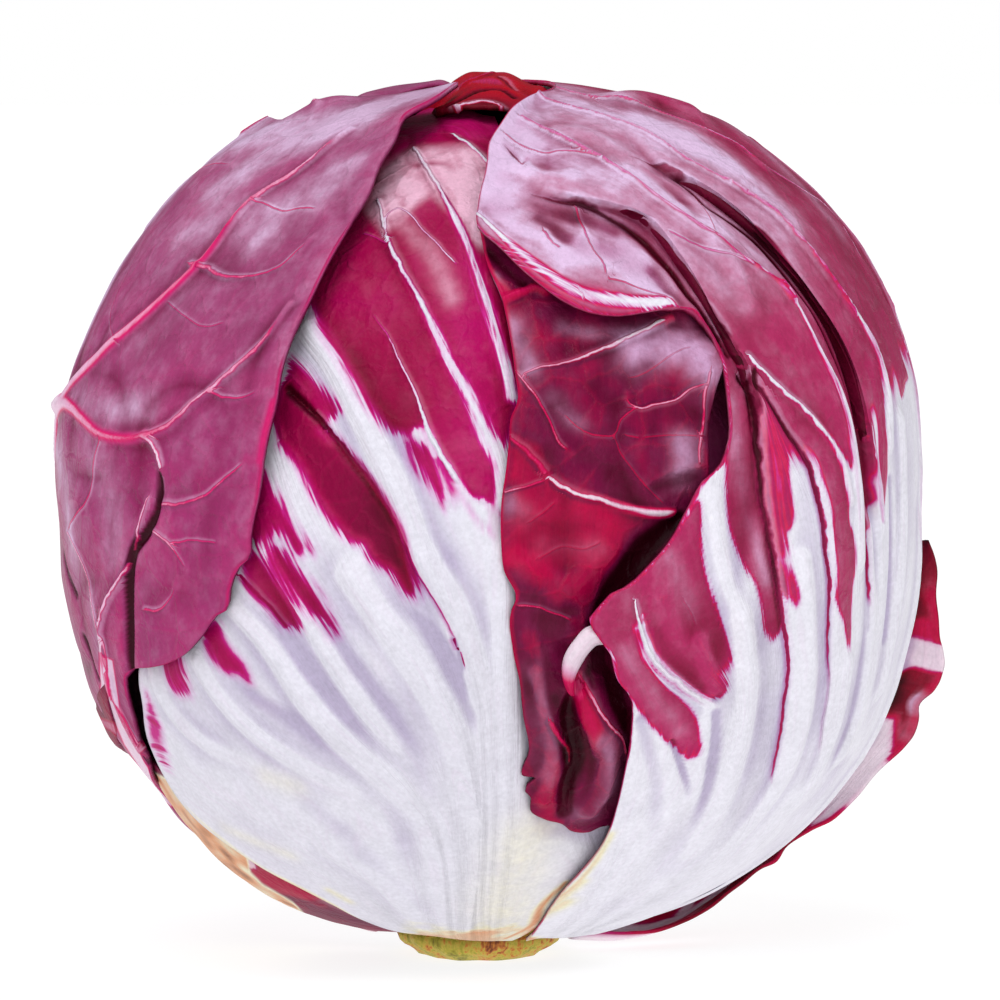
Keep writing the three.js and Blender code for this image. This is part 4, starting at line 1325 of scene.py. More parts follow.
def curled_rim():
    """The torn lobe's pale rim, rolled forward over itself."""
    outer = resampled(
        seen((602, 629, -0.4), (588, 628, 0.2), (576, 640, 0.4), (566, 656, 0.5), (564, 672, 0.2),
             (570, 694, -1.2)),
        29,
    )
    inner = resampled(
        seen((604, 642, -1.2), (596, 643, -0.6), (588, 650, -0.5), (580, 662, -0.6), (573, 676, -0.9),
             (572, 695, -1.5)),
        29,
    )
    share = np.linspace(0, 1, 9)[:, None]
    spots = outer[None] * (1 - share[..., None]) + inner[None] * share[..., None]
    along = np.linspace(0, 1, 29)[None, :]
    roll = 1.1 * np.sin(np.pi * share) ** 0.7 * smooth(1 - along, -0.05, 0.4)
    points = place(unit(spots[..., :3]), spots[..., 3] + roll)
    return sheet_solid(points, 0.35, 0.06 + 0.44 * smooth(along, 0.5, 0.85) + 0 * share)


def right_leaf():
    """The pleated leaf on the right: mauve over the top, white ribs and magenta stripes below."""
    flank_rails = [
        around((92, 12, 0.2), (98, 30, 0.3), (100, 60, 0.6), (98, 80, 0.8), (97, 100, 0.5), (98, 125, 0.3),
               (106, 145), (148, 157)),
        around((120, 12), (124, 35), (124, 70), (122, 100), (123, 125), (130, 142), (145, 152)),
        around((134, 12, -0.5), (140, 32, -0.5), (139, 65), (136, 95), (138, 120), (141, 135), (143, 146)),
    ]
    leaf = Leaf(
        [
            np.vstack([
                seen(
                    (526, 941, 0.3), (560, 897, 0.4), (605, 842, 0.4), (625, 775, 0.4), (633, 735, 0.5),
                    (632, 700, 0.6), (617, 679, 0.9), (611, 655, 1.1), (600, 640, 1.3), (590, 620, 1.3),
                    (600, 607, 1.2), (612, 594, 1.1), (627, 587, 1), (649, 567, 0.8), (674, 537, 0.6),
                    (687, 512, 0.5), (704, 482, 0.3), (722, 465, -0.4), (730, 440, -1.5), (729, 400, -1.8),
                    (724, 365, -1.6), (708, 325, -0.8), (692, 307, 0), (678, 306, 0.2), (648, 311, 0.5),
                    (615, 315, 0.7), (586, 310, 0.8), (562, 299, 0.8), (541, 284, 0.8), (522, 268, 0.7),
                    (500, 246, 0.5), (477, 223, 0.5), (478, 202, 0.7), (486, 168, 0.9), (489, 143, 1),
                    (501, 122, 1.1), (512, 105, 1.2), (533, 88, 1), (552, 83, 0.5),
                ),
                around((168, 172)),
            ]),
            np.vstack([
                seen(
                    (545, 938, 0.3), (600, 880, 0.3), (660, 800, 0.2), (700, 700, 0), (728, 600, -0.2),
                    (742, 530, -0.6), (752, 468, -1), (751, 431, -1.4), (740, 368, -1.6), (727, 344, -1.8),
                    (711, 312, -1.8), (693, 287, -1.6), (676, 265, -1.5), (657, 239, -1.3),
                    (637, 221, -1.2), (608, 212, -1), (581, 206, -0.9), (555, 199, -0.6), (537, 193, -0.2),
                    (522, 175, 0), (519, 145, 0), (532, 110, 0.1), (560, 86, 0),
                ),
                around((160, 168)),
            ]),
            np.vstack([
                seen(
                    (552, 938, 0.3), (612, 880, 0.3), (676, 800, 0.3), (720, 700, 0.2), (748, 600, 0.2),
                    (765, 530, 0), (772, 468, 0), (766, 425, 0.3), (752, 372, 0.8), (738, 345, 0.9),
                    (722, 318, 0.9), (704, 290, 0.8), (686, 262, 0.8), (668, 236, 0.8), (646, 213, 0.7),
                    (614, 203, 0.6), (585, 196, 0.5), (560, 190, 0.4), (543, 184, 0.2), (532, 168, 0),
                    (529, 140, 0), (542, 108, 0.1), (566, 87, 0),
                ),
                around((158, 166)),
            ]),
            np.vstack([
                seen(
                    (590, 935, 0.3), (690, 895, 0.4), (780, 820, 0.4), (832, 720, 0.3), (850, 620, 0.3),
                    (854, 540, 0.5), (850, 470, 0.8), (832, 390, 1), (805, 335, 1), (775, 287, 1),
                    (745, 266, 1), (715, 245, 0.9), (680, 213, 0.8), (638, 186, 0.7), (605, 150, 0.3),
                    (590, 115, 0), (592, 89),
                ),
                around((154, 163)),
            ]),
            np.vstack([
                seen(
                    (605, 932, 0.2), (715, 892, 0.1), (810, 812, -0.2), (858, 720, -0.4), (874, 620, -0.6),
                    (871, 528, -1.4), (861, 456, -2), (852, 400, -2.2), (836, 349, -2.4), (815, 314, -2.4),
                    (796, 284, -2.4), (770, 254, -2.2), (745, 229, -2), (720, 208, -1.8), (690, 188, -1.4),
                    (660, 171, -1), (630, 140, -0.4), (615, 110, 0), (612, 91),
                ),
                around((152, 161)),
            ]),
            np.vstack([
                seen(
                    (612, 930, 0.2), (728, 888, 0.2), (825, 806, 0), (872, 715, 0), (889, 620, 0),
                    (884, 528, 0), (876, 456, 0), (866, 400, 0.3), (850, 349, 0.5), (828, 312, 0.6),
                    (806, 281, 0.6), (779, 249, 0.6), (753, 222, 0.6), (728, 200, 0.5), (698, 180, 0.4),
                    (668, 162, 0.3), (640, 135), (625, 108), (622, 91),
                ),
                around((151, 160)),
            ]),
            *flank_rails,
        ],
        spacing=0.5,
        across=[0.42, 0.36, 0.39, 0.36, 0.36, 0.42, 1.1, 1.8],
    )
    top = smooth(leaf.polar, 100, 118)
    leaf.rough(18, 0.4, 41, top)
    leaf.crumple(12, 0.25, 44, top * smooth(-leaf.longitude, -50, -30))
    leaf.lift -= 0.9 * smooth(leaf.polar, 148, 160)
    turning = 1.4 * smooth(leaf.longitude, 50, 75) * smooth(leaf.polar, 76, 95)
    leaf.lift -= turning * smooth(-leaf.polar, -156, -136)
    leaf.lift += 1.3 * bell(leaf.near(drawn(625, 96, 655, 96, 685, 108), 12)[0] / 3)
    leaf.rough(6, 0.14, 42)
    limb = smooth(leaf.longitude, 50, 66)
    leaf.lift -= limb * (0.45 * smooth(-leaf.polar, -110, -95) + 0.9 * bell((leaf.polar - 78) / 15))
    ragged = 2.5 * noise(leaf.flat, 5, 43)
    flank = smooth(leaf.longitude, 60, 76)
    ragged += 12 * flank * noise(leaf.flat, 13, 45)
    leaf.tone[:] = smooth(leaf.polar + ragged - 9 * limb, 98, 104 + 6 * flank)
    # a pale waxy layer all over, and painted sheen over the top that grows toward the crown
    leaf.bloom_and_sheen += 0.04 + 0.5 * smooth(leaf.polar, 114, 132) * smooth(-leaf.longitude, -66, -45)
    leaf.follow(
        drawn(526, 941, 605, 842, 633, 735, 617, 679, 600, 640, 600, 607),
        drawn(560, 935, 640, 850, 700, 760, 715, 706, 687, 689, 652, 656, 637, 609, 640, 570),
        drawn(580, 930, 680, 850, 730, 770, 745, 690, 735, 620, 715, 540, 705, 490, 722, 440, 735, 400),
        drawn(600, 925, 700, 880, 764, 800, 783, 701, 777, 595, 763, 501, 757, 430, 745, 370, 720, 330, 690,
              290, 640, 240, 580, 205, 530, 190),
        drawn(640, 920, 740, 860, 800, 790, 826, 690, 827, 581, 815, 498, 790, 440, 760, 385, 740, 340, 700,
              280, 650, 220, 600, 190, 540, 160),
        drawn(660, 915, 770, 850, 835, 770, 858, 690, 860, 560, 853, 470, 836, 395, 805, 337, 775, 287, 730,
              250, 664, 208, 603, 162, 540, 130),
        drawn(680, 910, 800, 830, 860, 713, 872, 572, 863, 477, 852, 385, 817, 316, 781, 263, 735, 219, 677,
              171, 600, 130, 560, 110),
        drawn(700, 900, 830, 820, 885, 690, 900, 560, 891, 400, 874, 344, 829, 282, 767, 212, 700, 165, 620,
              115, 575, 95),
        flank_rails[0],
        flank_rails[1][:-1],
        flank_rails[2][:-1],
    )
    # magenta stripes that run down between the white ribs
    leaf.patches(
        (drawn(718, 372, 733, 380, 750, 395, 757, 430, 759, 460, 761, 500, 769, 548, 776, 590, 781, 625,
               771, 642, 765, 633, 761, 609, 754, 581, 748, 572, 740, 553, 731, 524, 729, 503, 728, 477,
               730, 454, 728, 420), 0.85),
        (drawn(757, 380, 770, 400, 781, 425, 786, 454, 787, 477, 790, 501, 791, 524, 784, 534, 788, 548,
               791, 567, 794, 586, 796, 595, 793, 607, 786, 600, 778, 590, 770, 560, 763, 510, 759, 470,
               757, 430), 0.62),
        (drawn(747, 365, 770, 400, 786, 424, 796, 443, 804, 449, 815, 477, 825, 510, 828, 543, 832, 572,
               832, 595, 839, 619, 846, 649, 848, 614, 849, 590, 852, 564, 848, 531, 845, 524, 843, 501,
               841, 482, 836, 463, 827, 447, 815, 430, 800, 405, 775, 375, 750, 340), 0.95),
        (drawn(760, 340, 790, 372, 822, 422, 832, 442, 841, 458, 846, 470, 847, 462, 841, 440, 836, 420,
               829, 395, 814, 360, 795, 325, 770, 300), 0.85),
        (drawn(862, 385, 868, 405, 874, 430, 877, 449, 879, 484, 881, 501, 878, 513, 872, 524, 869, 540,
               867, 500, 864, 460, 859, 420, 853, 385), 0.85),
        (drawn(862, 360, 872, 395, 879, 430, 881, 454, 884, 477, 888, 510, 891, 484, 891, 454, 888, 430,
               885, 400, 876, 360), 0.8),
        (drawn(875, 310, 893, 350, 900, 375, 906, 396, 910, 382, 913, 372, 906, 350, 892, 310), 0.8),
        (drawn(626, 584, 650, 556, 668, 534, 689, 512, 696, 502, 701, 542, 706, 579, 719, 614, 729, 654,
               729, 671, 721, 696, 714, 701, 704, 696, 687, 686, 669, 671, 656, 652, 646, 629, 636, 602,
               628, 588), 0.85),
        (drawn(612, 649, 619, 634, 632, 627, 637, 639, 639, 654, 649, 666, 664, 684, 682, 699, 694, 716,
               698, 734, 696, 756, 691, 758, 674, 746, 652, 726, 632, 699, 617, 679, 612, 659), 0.8),
        soft=1.0,
    )
    leaf.patch(drawn(586, 619, 597, 604, 610, 590, 630, 582, 640, 592, 636, 619, 626, 632, 612, 652, 607,
                     646, 594, 634), 1.0, soft=0.8)
    leaf.feather(
        (797, 612), (770, 648), (846, 654), (716, 708), (728, 676), (695, 764), (880, 530), (890, 516),
        (786, 560),
    )
    # white ribs
    leaf.ribs(
        (drawn(478, 217, 493, 231, 511, 248, 526, 261, 544, 275, 562, 287, 582, 296, 613, 302, 644, 304,
               672, 302), (0.35, 0.6, 0.8, 1.1, 0.9), 0.5, (0.1, 0.0)),
        (drawn(745, 359, 760, 376, 775, 391, 804, 417, 815, 430, 827, 447, 836, 463, 841, 480, 846, 500),
         (0.3, 0.45, 0.55, 0.7), 0.5, (0.2, 0.0)),
        (drawn(775, 287, 790, 310, 805, 337, 820, 365, 836, 395, 847, 430, 853, 470, 858, 510, 860, 560),
         (0.3, 0.6, 1.0, 1.2, 1.3), 0.6, (0.3, 0.0)),
        (drawn(871, 425, 875, 444, 880, 468, 885, 493, 887, 529), (0.15, 0.3, 0.4), 0.3, (0.3, 0.05)),
        (drawn(725, 182, 767, 212, 800, 247, 829, 282, 854, 314, 874, 344, 884, 370, 891, 400, 894, 440),
         (0.2, 0.3, 0.45, 0.7, 1.2), 0.5, (0.5, 0.35, 0.05, 0.0)),
        (drawn(633, 602, 641, 634, 650, 656, 669, 674, 687, 689, 704, 701, 715, 706), (0.2, 0.45, 0.6), 0.4,
         0.03),
        (drawn(766, 162, 792, 175, 812, 188, 830, 200, 850, 225, 870, 262), (0.25, 0.35, 0.2), 0.3,
         (0.45, 0.3, 0.45)),
        (drawn(682, 599, 690, 612, 696, 629), 0.12, 0.2, 0.3),
    )
    # thin red and pink veins over the top
    leaf.ribs(
        (drawn(557, 83, 588, 92, 618, 98, 654, 108, 684, 120, 705, 128, 741, 142, 766, 162), 0.4, 0.35,
         0.52),
        (drawn(539, 92, 567, 103, 593, 111, 618, 120, 639, 129, 664, 144, 684, 159, 705, 172, 728, 185, 748,
               199, 771, 216, 792, 239, 807, 256, 827, 282, 850, 313), (0.32, 0.43, 0.5), 0.4,
         (0.53, 0.5, 0.38)),
        (drawn(522, 117, 544, 128, 562, 138, 582, 149, 603, 162, 623, 176, 644, 193, 664, 208, 690, 227,
               713, 241, 730, 256, 748, 269, 771, 284, 787, 305), (0.32, 0.45, 0.52, 0.52), 0.5,
         (0.53, 0.5, 0.45, 0.25)),
        (drawn(506, 137, 524, 147, 544, 152, 562, 151, 582, 154, 603, 162), 0.22, 0.25, 0.54),
        (drawn(577, 203, 585, 226, 595, 249, 605, 264, 605, 279), 0.18, 0.3, 0.5),
        (drawn(605, 264, 617, 261, 628, 255), 0.12, 0.2, 0.4),
        (drawn(605, 279, 623, 282, 644, 290, 672, 297), 0.18, 0.25, 0.55),
        (drawn(667, 236, 690, 249, 715, 260, 735, 264, 752, 272), (0.15, 0.25), 0.3, (0.55, 0.42)),
        (drawn(697, 192, 707, 215, 713, 239), 0.14, 0.2, 0.5),
        (drawn(588, 92, 610, 105, 640, 115), 0.1, 0.15, 0.6),
    )
    # creases, painted dark as shade
    leaf.ribs(
        (drawn(534, 193, 562, 198, 582, 200, 603, 209, 623, 219, 644, 234, 659, 250, 677, 270, 690, 290,
               705, 308, 720, 328, 735, 350), (0.1, 0.4, 0.6, 0.55, 0.4), (-0.1, -0.5),
         (1.1, 1.5, 1.5, 1.4)),
        (drawn(631, 157, 654, 160, 677, 171, 695, 186, 710, 204, 735, 219, 761, 237, 781, 263, 799, 291,
               817, 316, 836, 349, 852, 385, 860, 425, 863, 477, 869, 524, 872, 572, 873, 631),
         (0.1, 0.5, 0.6, 0.65, 0.55, 0.3, 0.2), (-0.1, -0.5, -0.5), (1.1, 1.4, 1.5, 1.5, 1.3, 0.8, 0.3)),
        (drawn(752, 372, 757, 400, 760, 430, 763, 501, 770, 548, 777, 595, 782, 623, 786, 654, 786, 675,
               783, 701, 780, 725, 776, 746, 770, 772, 764, 800), (0.35, 0.4, 0.35, 0.25, 0.2, 0.15),
         (-0.4, -0.5, -0.4), (1.4, 1.45, 1.3, 0.9, 0.6, 0.4)),
        (drawn(747, 374, 770, 408, 783, 430, 796, 449, 808, 472, 815, 498, 820, 520, 823, 548, 827, 581,
               827, 619, 826, 654, 826, 690, 822, 713, 819, 737, 813, 775), (0.25, 0.3, 0.25, 0.15, 0.12),
         (-0.5, -0.5, -0.35), (1.4, 1.2, 0.9, 0.2, 0.12)),
        (drawn(724, 380, 730, 406, 726, 440, 712, 472), (0.5, 0.7, 0.4), -0.4, 1.45),
        (drawn(505, 147, 515, 157, 522, 166, 527, 158), (0.1, 0.25, 0.1), -0.3, 1.1),
        soft=0.7,
    )
    # pleats: the blade stands up along one side of each fold
    leaf.fold(drawn(783, 430, 808, 472, 820, 520, 827, 581, 827, 654, 820, 730, 800, 800), (1.1, 0.6, 0.3),
              4.0, 0.8)
    leaf.fold(drawn(757, 430, 763, 501, 777, 595, 786, 665, 776, 746, 750, 820), (0.9, 0.6, 0.3), 4.0, 0.8)
    leaf.fold(drawn(868, 500, 872, 572, 872, 631, 860, 713, 830, 780), 1.1, 4.0, 0.8)
    leaf.ribs(
        (drawn(740, 620, 745, 690, 730, 770, 690, 850), 1.6, (0.9, 1.0, 0.2)),
        (drawn(800, 560, 806, 640, 800, 720, 765, 800, 710, 860), 1.4, (0.8, 0.9, 0.2)),
        (drawn(845, 660, 835, 730, 800, 800), 1.4, (0.8, 0.2)),
        (drawn(672, 742, 681, 765, 690, 800), (0.4, 0.8), (-0.6, -0.7, 0)),
        (drawn(700, 640, 712, 690, 705, 750), 1.1, (0.6, 0.2)),
        (drawn(905, 420, 912, 500, 905, 600, 885, 690), 1.6, 0.8),
        (drawn(897, 480, 900, 560, 893, 640), 0.8, -0.6),
        (drawn(640, 720, 655, 780, 650, 850), 1.4, (-0.6, 0)),
        (drawn(714, 700, 712, 760, 690, 830), 0.9, (-0.7, -0.6, 0)),
        (drawn(715, 500, 722, 560, 745, 640), 1.2, 0.5),
        (drawn(660, 600, 680, 640, 705, 670), 1.6, 0.4),
    )
    # the dished panel under the first crease, and the pocket under the second, with painted shade in the
    # dish
    leaf.ribs(
        (drawn(560, 235, 600, 245, 640, 262), 3.4, (-0.2, -0.4, -0.2)),
        (drawn(540, 215, 555, 225, 565, 235), 1.2, -0.3, 1.12),
        (drawn(538, 203, 562, 210, 590, 216, 615, 226), (1.0, 1.8, 1.2), (-0.2, -0.5, -0.3),
         (1.0, 1.15, 1.0)),
        (drawn(655, 268, 672, 290, 688, 306), 1.2, -0.3, 1.1),
        (drawn(655, 175, 680, 195, 700, 225), 1.3, (-0.1, -0.4, -0.1)),
        (drawn(515, 165, 540, 175, 570, 180), 1.4, 0.5),
        (drawn(545, 230, 550, 240, 560, 248), 0.25, 0.35, 0.6),
        (drawn(560, 130, 600, 140, 640, 160), 1.6, 0.4),
        (drawn(710, 250, 730, 275, 745, 310), 1.5, 0.5),
        soft=2.0,
    )
    # painted sheen and highlights over the top
    leaf.bloom_and_sheen_strokes(
        (drawn(520, 105, 505, 150, 495, 200), 3.0, 1.0),
        (drawn(540, 95, 600, 110, 660, 125, 720, 160), 3.4, 0.75),
        (drawn(530, 140, 570, 165, 610, 175), 3.0, 0.8),
        (drawn(500, 215, 530, 235, 560, 262), 2.4, 0.7),
        (drawn(590, 245, 625, 255, 652, 280), 2.8, 1.8),
        (drawn(640, 180, 670, 205, 700, 230), 1.8, 0.55),
        (drawn(660, 140, 700, 150, 740, 180, 780, 215), 3.0, 0.7),
        (drawn(718, 235, 745, 250, 765, 268), 1.6, 0.3),
        (drawn(690, 255, 715, 285, 735, 310), 1.6, 0.3),
        (drawn(730, 120, 790, 165, 840, 220), 2.4, 0.3),
        (drawn(738, 400, 742, 450, 752, 520, 765, 580), 1.4, 0.45),
        (drawn(670, 560, 690, 610), 1.6, 0.25),
        (drawn(625, 650, 650, 690, 680, 730), 1.2, 0.25),
    )
    rim = smooth(0.7 - leaf.margin_left, 0.1, 0.5) * smooth(leaf.polar, 74, 80)
    leaf.tone += (0.5 - leaf.tone) * rim

    # the flank: more ribs and stripes, turning away from the front
    for longitude, reach, end in (
        (80, 118, 92), (88, 126, 80), (95, 114, 96), (102, 130, 84),
        (109, 118, 91), (116, 127, 78), (123, 116, 88),
    ):
        path = around((longitude, 16), (longitude + 1, 40), (longitude + 2, 75), (longitude + 3, reach))
        leaf.rib(path, (1.2, 2.0, 1.5, 0.3), (0.2, 0.7, 0.7, 0.3), (0.0, 0.0, 0.0, 0.3), soft=1.6)
        path = around((longitude + 4, 128), (longitude + 4.5, 0.5 * (end + 128)), (longitude + 4, end))
        leaf.rib(path, (1.8, 1.7, 0.9, 0.2), (-0.2, -0.4, -0.3), (1.0, 0.9, 0.7, 0.5), soft=1.6)
    for longitude in (86, 104, 122):
        path = around((longitude, 112), (longitude + 3, 130), (longitude + 10, 146))
        leaf.rib(path, (0.4, 0.2), 0.4, (0.2, 0.5))
        path = around((longitude + 1, 118), (longitude + 9, 126), (longitude + 14, 138))
        leaf.rib(path, (0.25, 0.15), 0.3, (0.35, 0.6))
    leaf.stain += 0.8 * smooth(-leaf.polar, -22, -12)
    leaf.marks(
        (drawn(611, 832, 588, 868, 566, 890, 540, 903, 528, 931), 0.7, (1.0, 1.5, 1.9)),
        (drawn(556, 900, 580, 880), 1.2, 1.2),
        (drawn(535, 915, 565, 900), 1.6, 1.2),
        (drawn(530, 936, 560, 943, 590, 948, 627, 950), (1.2, 0.7), (2.0, 1.5)),
    )
    add_piece("right_leaf_blade", "right_leaf", [leaf_solid(leaf, 0.6)], PLEATED)


# ------------------------------------------------------------------ torn leaves outside the head
def torn_right_leaf():
    """What is left of an older leaf, its front margin curling away from the head."""
    curled_margin = beyond(
        (687, 922, 4), (722, 899, 6), (745, 880, 8), (761, 869, 10), (777, 861, 11), (786, 848, 12),
        (812, 831, 14), (834, 820, 15), (855, 800, 17), (879, 772, 19), (905, 746, 20), (913, 734, 21),
        (918, 718, 21), (919, 705, 21), (935, 690, 20), (942, 680, 19), (946, 668, 19), (945, 652, 19),
        (941, 638, 20), (939, 616, 21), (937, 595, 22), (938, 572, 22), (935, 555, 22), (929, 540, 22),
    )
    behind_pleats = beyond(
        (675, 915, 14), (745, 868, 17), (785, 824, 19), (805, 806, 19), (845, 763, 20), (871, 717, 21),
        (886, 676, 21), (900, 650, 21), (912, 600, 22), (918, 560, 23), (922, 540, 24),
    )
    leaf = Leaf(
        [
            np.vstack([around((96, 14, 1.0)), curled_margin]),
            np.vstack([around((106, 13, 1.2)), behind_pleats]),
            around((116, 13, 1.2), (118, 30, 1.6), (120, 45, 1.8), (122, 60, 2.2), (121, 72, 2.4),
                   (118, 86, 2.4)),
            around((124, 13.5, 1.2), (130, 28, 1.6), (134, 42, 1.8), (135, 54, 2.0), (130, 66, 2.2),
                   (122, 80, 2.4)),
        ],
        spacing=0.5,
    )
    leaf.rearmost = -0.6
    leaf.rough(7, 0.4, 51)
    leaf.rough(3, 0.15, 52)
    leaf.tone[:] = 0.95
    leaf.ribs(
        (around((112, 14), (113, 40), (114, 62), (113, 80)), (2.4, 1.4, 0.6, 0.3), 0.8,
         (0.0, 0.0, 0.1, 0.4)),
        (around((114, 36), (121, 50), (127, 60)), (0.9, 0.3), 0.5, (0.05, 0.4)),
        (around((115, 28), (124, 38), (131, 46)), (0.9, 0.3), 0.5, (0.05, 0.4)),
        soft=0.8,
    )
    leaf.tone *= smooth(leaf.polar, 15, 32) * 0.9 + 0.1 + 0.3 * smooth(-leaf.margin_left, -3, 0)
    leaf.paints(
        ((900, 520, 950, 520, 955, 606, 925, 606, 900, 615), 1.3, 8),
        ((895, 655, 905, 622, 925, 618, 950, 625, 952, 655, 925, 660), 0.6, 8),
        ((880, 668, 900, 642, 915, 638, 935, 643, 960, 650, 960, 680, 935, 674, 915, 668, 900, 676), 0.05,
         8),
        ((880, 716, 884, 698, 892, 684, 905, 679, 922, 684, 924, 705, 912, 718, 899, 722), 1.3, 5),
        ((874, 716, 899, 718, 897, 756, 876, 787, 856, 805, 835, 821, 808, 834, 812, 822, 823, 812, 835,
          785, 854, 760, 868, 740), 0.02, 16),
    )
    coloured = smooth(leaf.tone, 0.2, 0.5) * smooth(leaf.polar, 20, 30) * smooth(-leaf.polar, -84, -76)
    leaf.tone += (0.75 - leaf.tone) * smooth(0.5 - leaf.margin_left, 0.0, 0.4) * coloured
    # a painted highlight on the fold's mauve streak
    leaf.bloom_and_sheen_strokes((beyond((893, 700, 20), (908, 690, 20), (918, 700, 20), (908, 735, 20)), 0.7, 0.6))
    solids = [leaf_solid(leaf, 0.45, coarse=1)]
    add_piece("torn_right_leaf_remnant", "torn_right_leaf", solids, TORN)


def torn_left_leaf():
    """What is left of another older leaf: a withered brown rim under the fan, and a mauve tip."""
    rows = (14, 26, 37, 42, 48, 54, 58, 63)
    lifts = {
        -122: (0.9, 0.2, -0.3, -0.6, -0.8, -0.9, 0.2, 0.2),
        -108: (0.6, 0.0, -0.4, -0.9, -1.1, -1.1, 0.4, 0.4),
        -94: (0.3, -0.2, -0.5, -1.2, -1.3, -1.2, 0.5, 0.5),
    }
    rails = [around(*((longitude, *spot) for spot in zip(rows, row))) for longitude, row in lifts.items()]
    front_margin = seen(
        (414, 935, -1.0), (350, 903, -1.0), (300, 872, -1.2), (262, 850, -1.2), (232, 832, -1.2),
        (196, 802, -1.4), (165, 776, -1.6), (140, 752, -1.4), (127, 742, -1.0), (113, 722, 0.6),
        (104, 684, 0.7),
    )
    leaf = Leaf([*rails, front_margin], spacing=0.45)
    leaf.rough(6, 0.25, 61)
    leaf.rough(2.5, 0.1, 62)
    leaf.tone[:] = 0.98
    leaf.paints(
        ((224, 848, 246, 852, 262, 860, 290, 868, 314, 884, 326, 900, 306, 900, 280, 893, 250, 876, 232,
          862), 0.72, 4),
        ((246, 856, 253, 858, 257, 869, 249, 869), 0.1, 3),
        ((286, 874, 310, 884, 314, 892, 296, 886), 0.5, 4),
        ((90, 670, 128, 670, 128, 742, 90, 745), 0.95, 4),
        ((96, 716, 116, 724, 132, 744, 128, 746, 112, 732, 96, 722), 0.35, 3),
    )
    # the dried rim
    leaf.paint((150, 770, 195, 795, 225, 822, 252, 848, 247, 858, 250, 872, 262, 884, 292, 902, 315, 925,
                250, 925, 210, 895, 150, 830), 1.75, 4, "stain")
    leaf.stain *= 1 + 0.5 * noise(leaf.flat, 3, 63)
    leaf.marks((around((-96, 22), (-100, 34), (-104, 38)), 2.5, 1.6))
    leaf.rib(around((-104, 15), (-106, 36)), (2.4, 1.2), 0.6, (0.1, 0.3), soft=0.8)
    # painted sheen on the dark tip
    leaf.bloom_and_sheen_strokes((drawn(320, 905, 350, 918), 1.2, 0.4))
    solids = [leaf_solid(leaf, 0.45)]
    add_piece("torn_left_leaf_remnant", "torn_left_leaf", solids, WITHERED)


# ------------------------------------------------------------------ leaves behind and inside
def rightwards(longitude):
    """The level direction square off the meridian at longitude."""
    turned = math.radians(longitude)
    return np.array([math.cos(turned), math.sin(turned), 0.0])


def on_leaf(longitude, along, across, lift):
    """A spot along a leaf's midrib, which runs up the meridian at longitude, and square off it."""
    across = np.radians(across)
    direction = towards(longitude, along) * math.cos(across) + rightwards(longitude) * math.sin(across)
    return np.append(direction, lift)


def outline_rails(longitude, outline, tips=()):
    """Rails over a leaf whose outline rows are along, left, right and lift."""
    rails = []
    for i, share in enumerate((-1, -0.5, 0, 0.5, 1)):
        spots = [
            on_leaf(longitude, along, share * (right if share > 0 else left), lift) for along,
            left,
            right,
            lift in outline
        ]
        rails.append(np.array(spots + [tips[i]] if len(tips) else spots))
    return rails


def veined_sheath(leaf, longitude, reach, seed):
    """A wrapping leaf's look: a broad white midrib, side ribs that fan out of a white base, and
    thin veins between them."""
    fringe = 5 * noise(leaf.flat, 6, seed)
    leaf.tone[:] = 0.97 * smooth(leaf.polar + fringe, 58, 76)
    for side in (-1, 1):
        for start, slant, end in ((0.12, 0.55, 62), (0.3, 0.8, 84), (0.45, 0.7, 106), (0.62, 0.6, 126)):
            first = 16 + start * reach
            path = np.array([
                on_leaf(longitude, first, side * (1 + 3 * (1 - start)), 0),
                on_leaf(longitude, first + 0.35 * (end - first), side * slant * 20, 0),
                on_leaf(longitude, end, side * slant * 52, 0),
            ])
            leaf.rib(path, (2.4, 1.0, 0.3), (0.7, 0.6, 0.3), (0.0, 0.05, 0.4), soft=0.8)
            twig = np.array([
                on_leaf(longitude, first + 0.5 * (end - first), side * slant * 28, 0),
                on_leaf(longitude, end - 4, side * slant * 26, 0),
                on_leaf(longitude, end + 14, side * slant * 34, 0),
            ])
            leaf.rib(twig, (0.3, 0.15), 0.3, (0.3, 0.5))
    midrib = np.array([on_leaf(longitude, along, 0, 0) for along in np.linspace(12, 16 + reach, 7)])
    leaf.rib(midrib, (6, 4, 2.2, 1.0, 0.4), (0.8, 1.2, 0.9, 0.6, 0.3), (0, 0, 0, 0.05, 0.35), soft=1.0)
    leaf.rough(16, 0.5, seed + 1)
    leaf.rough(5, 0.18, seed + 2)


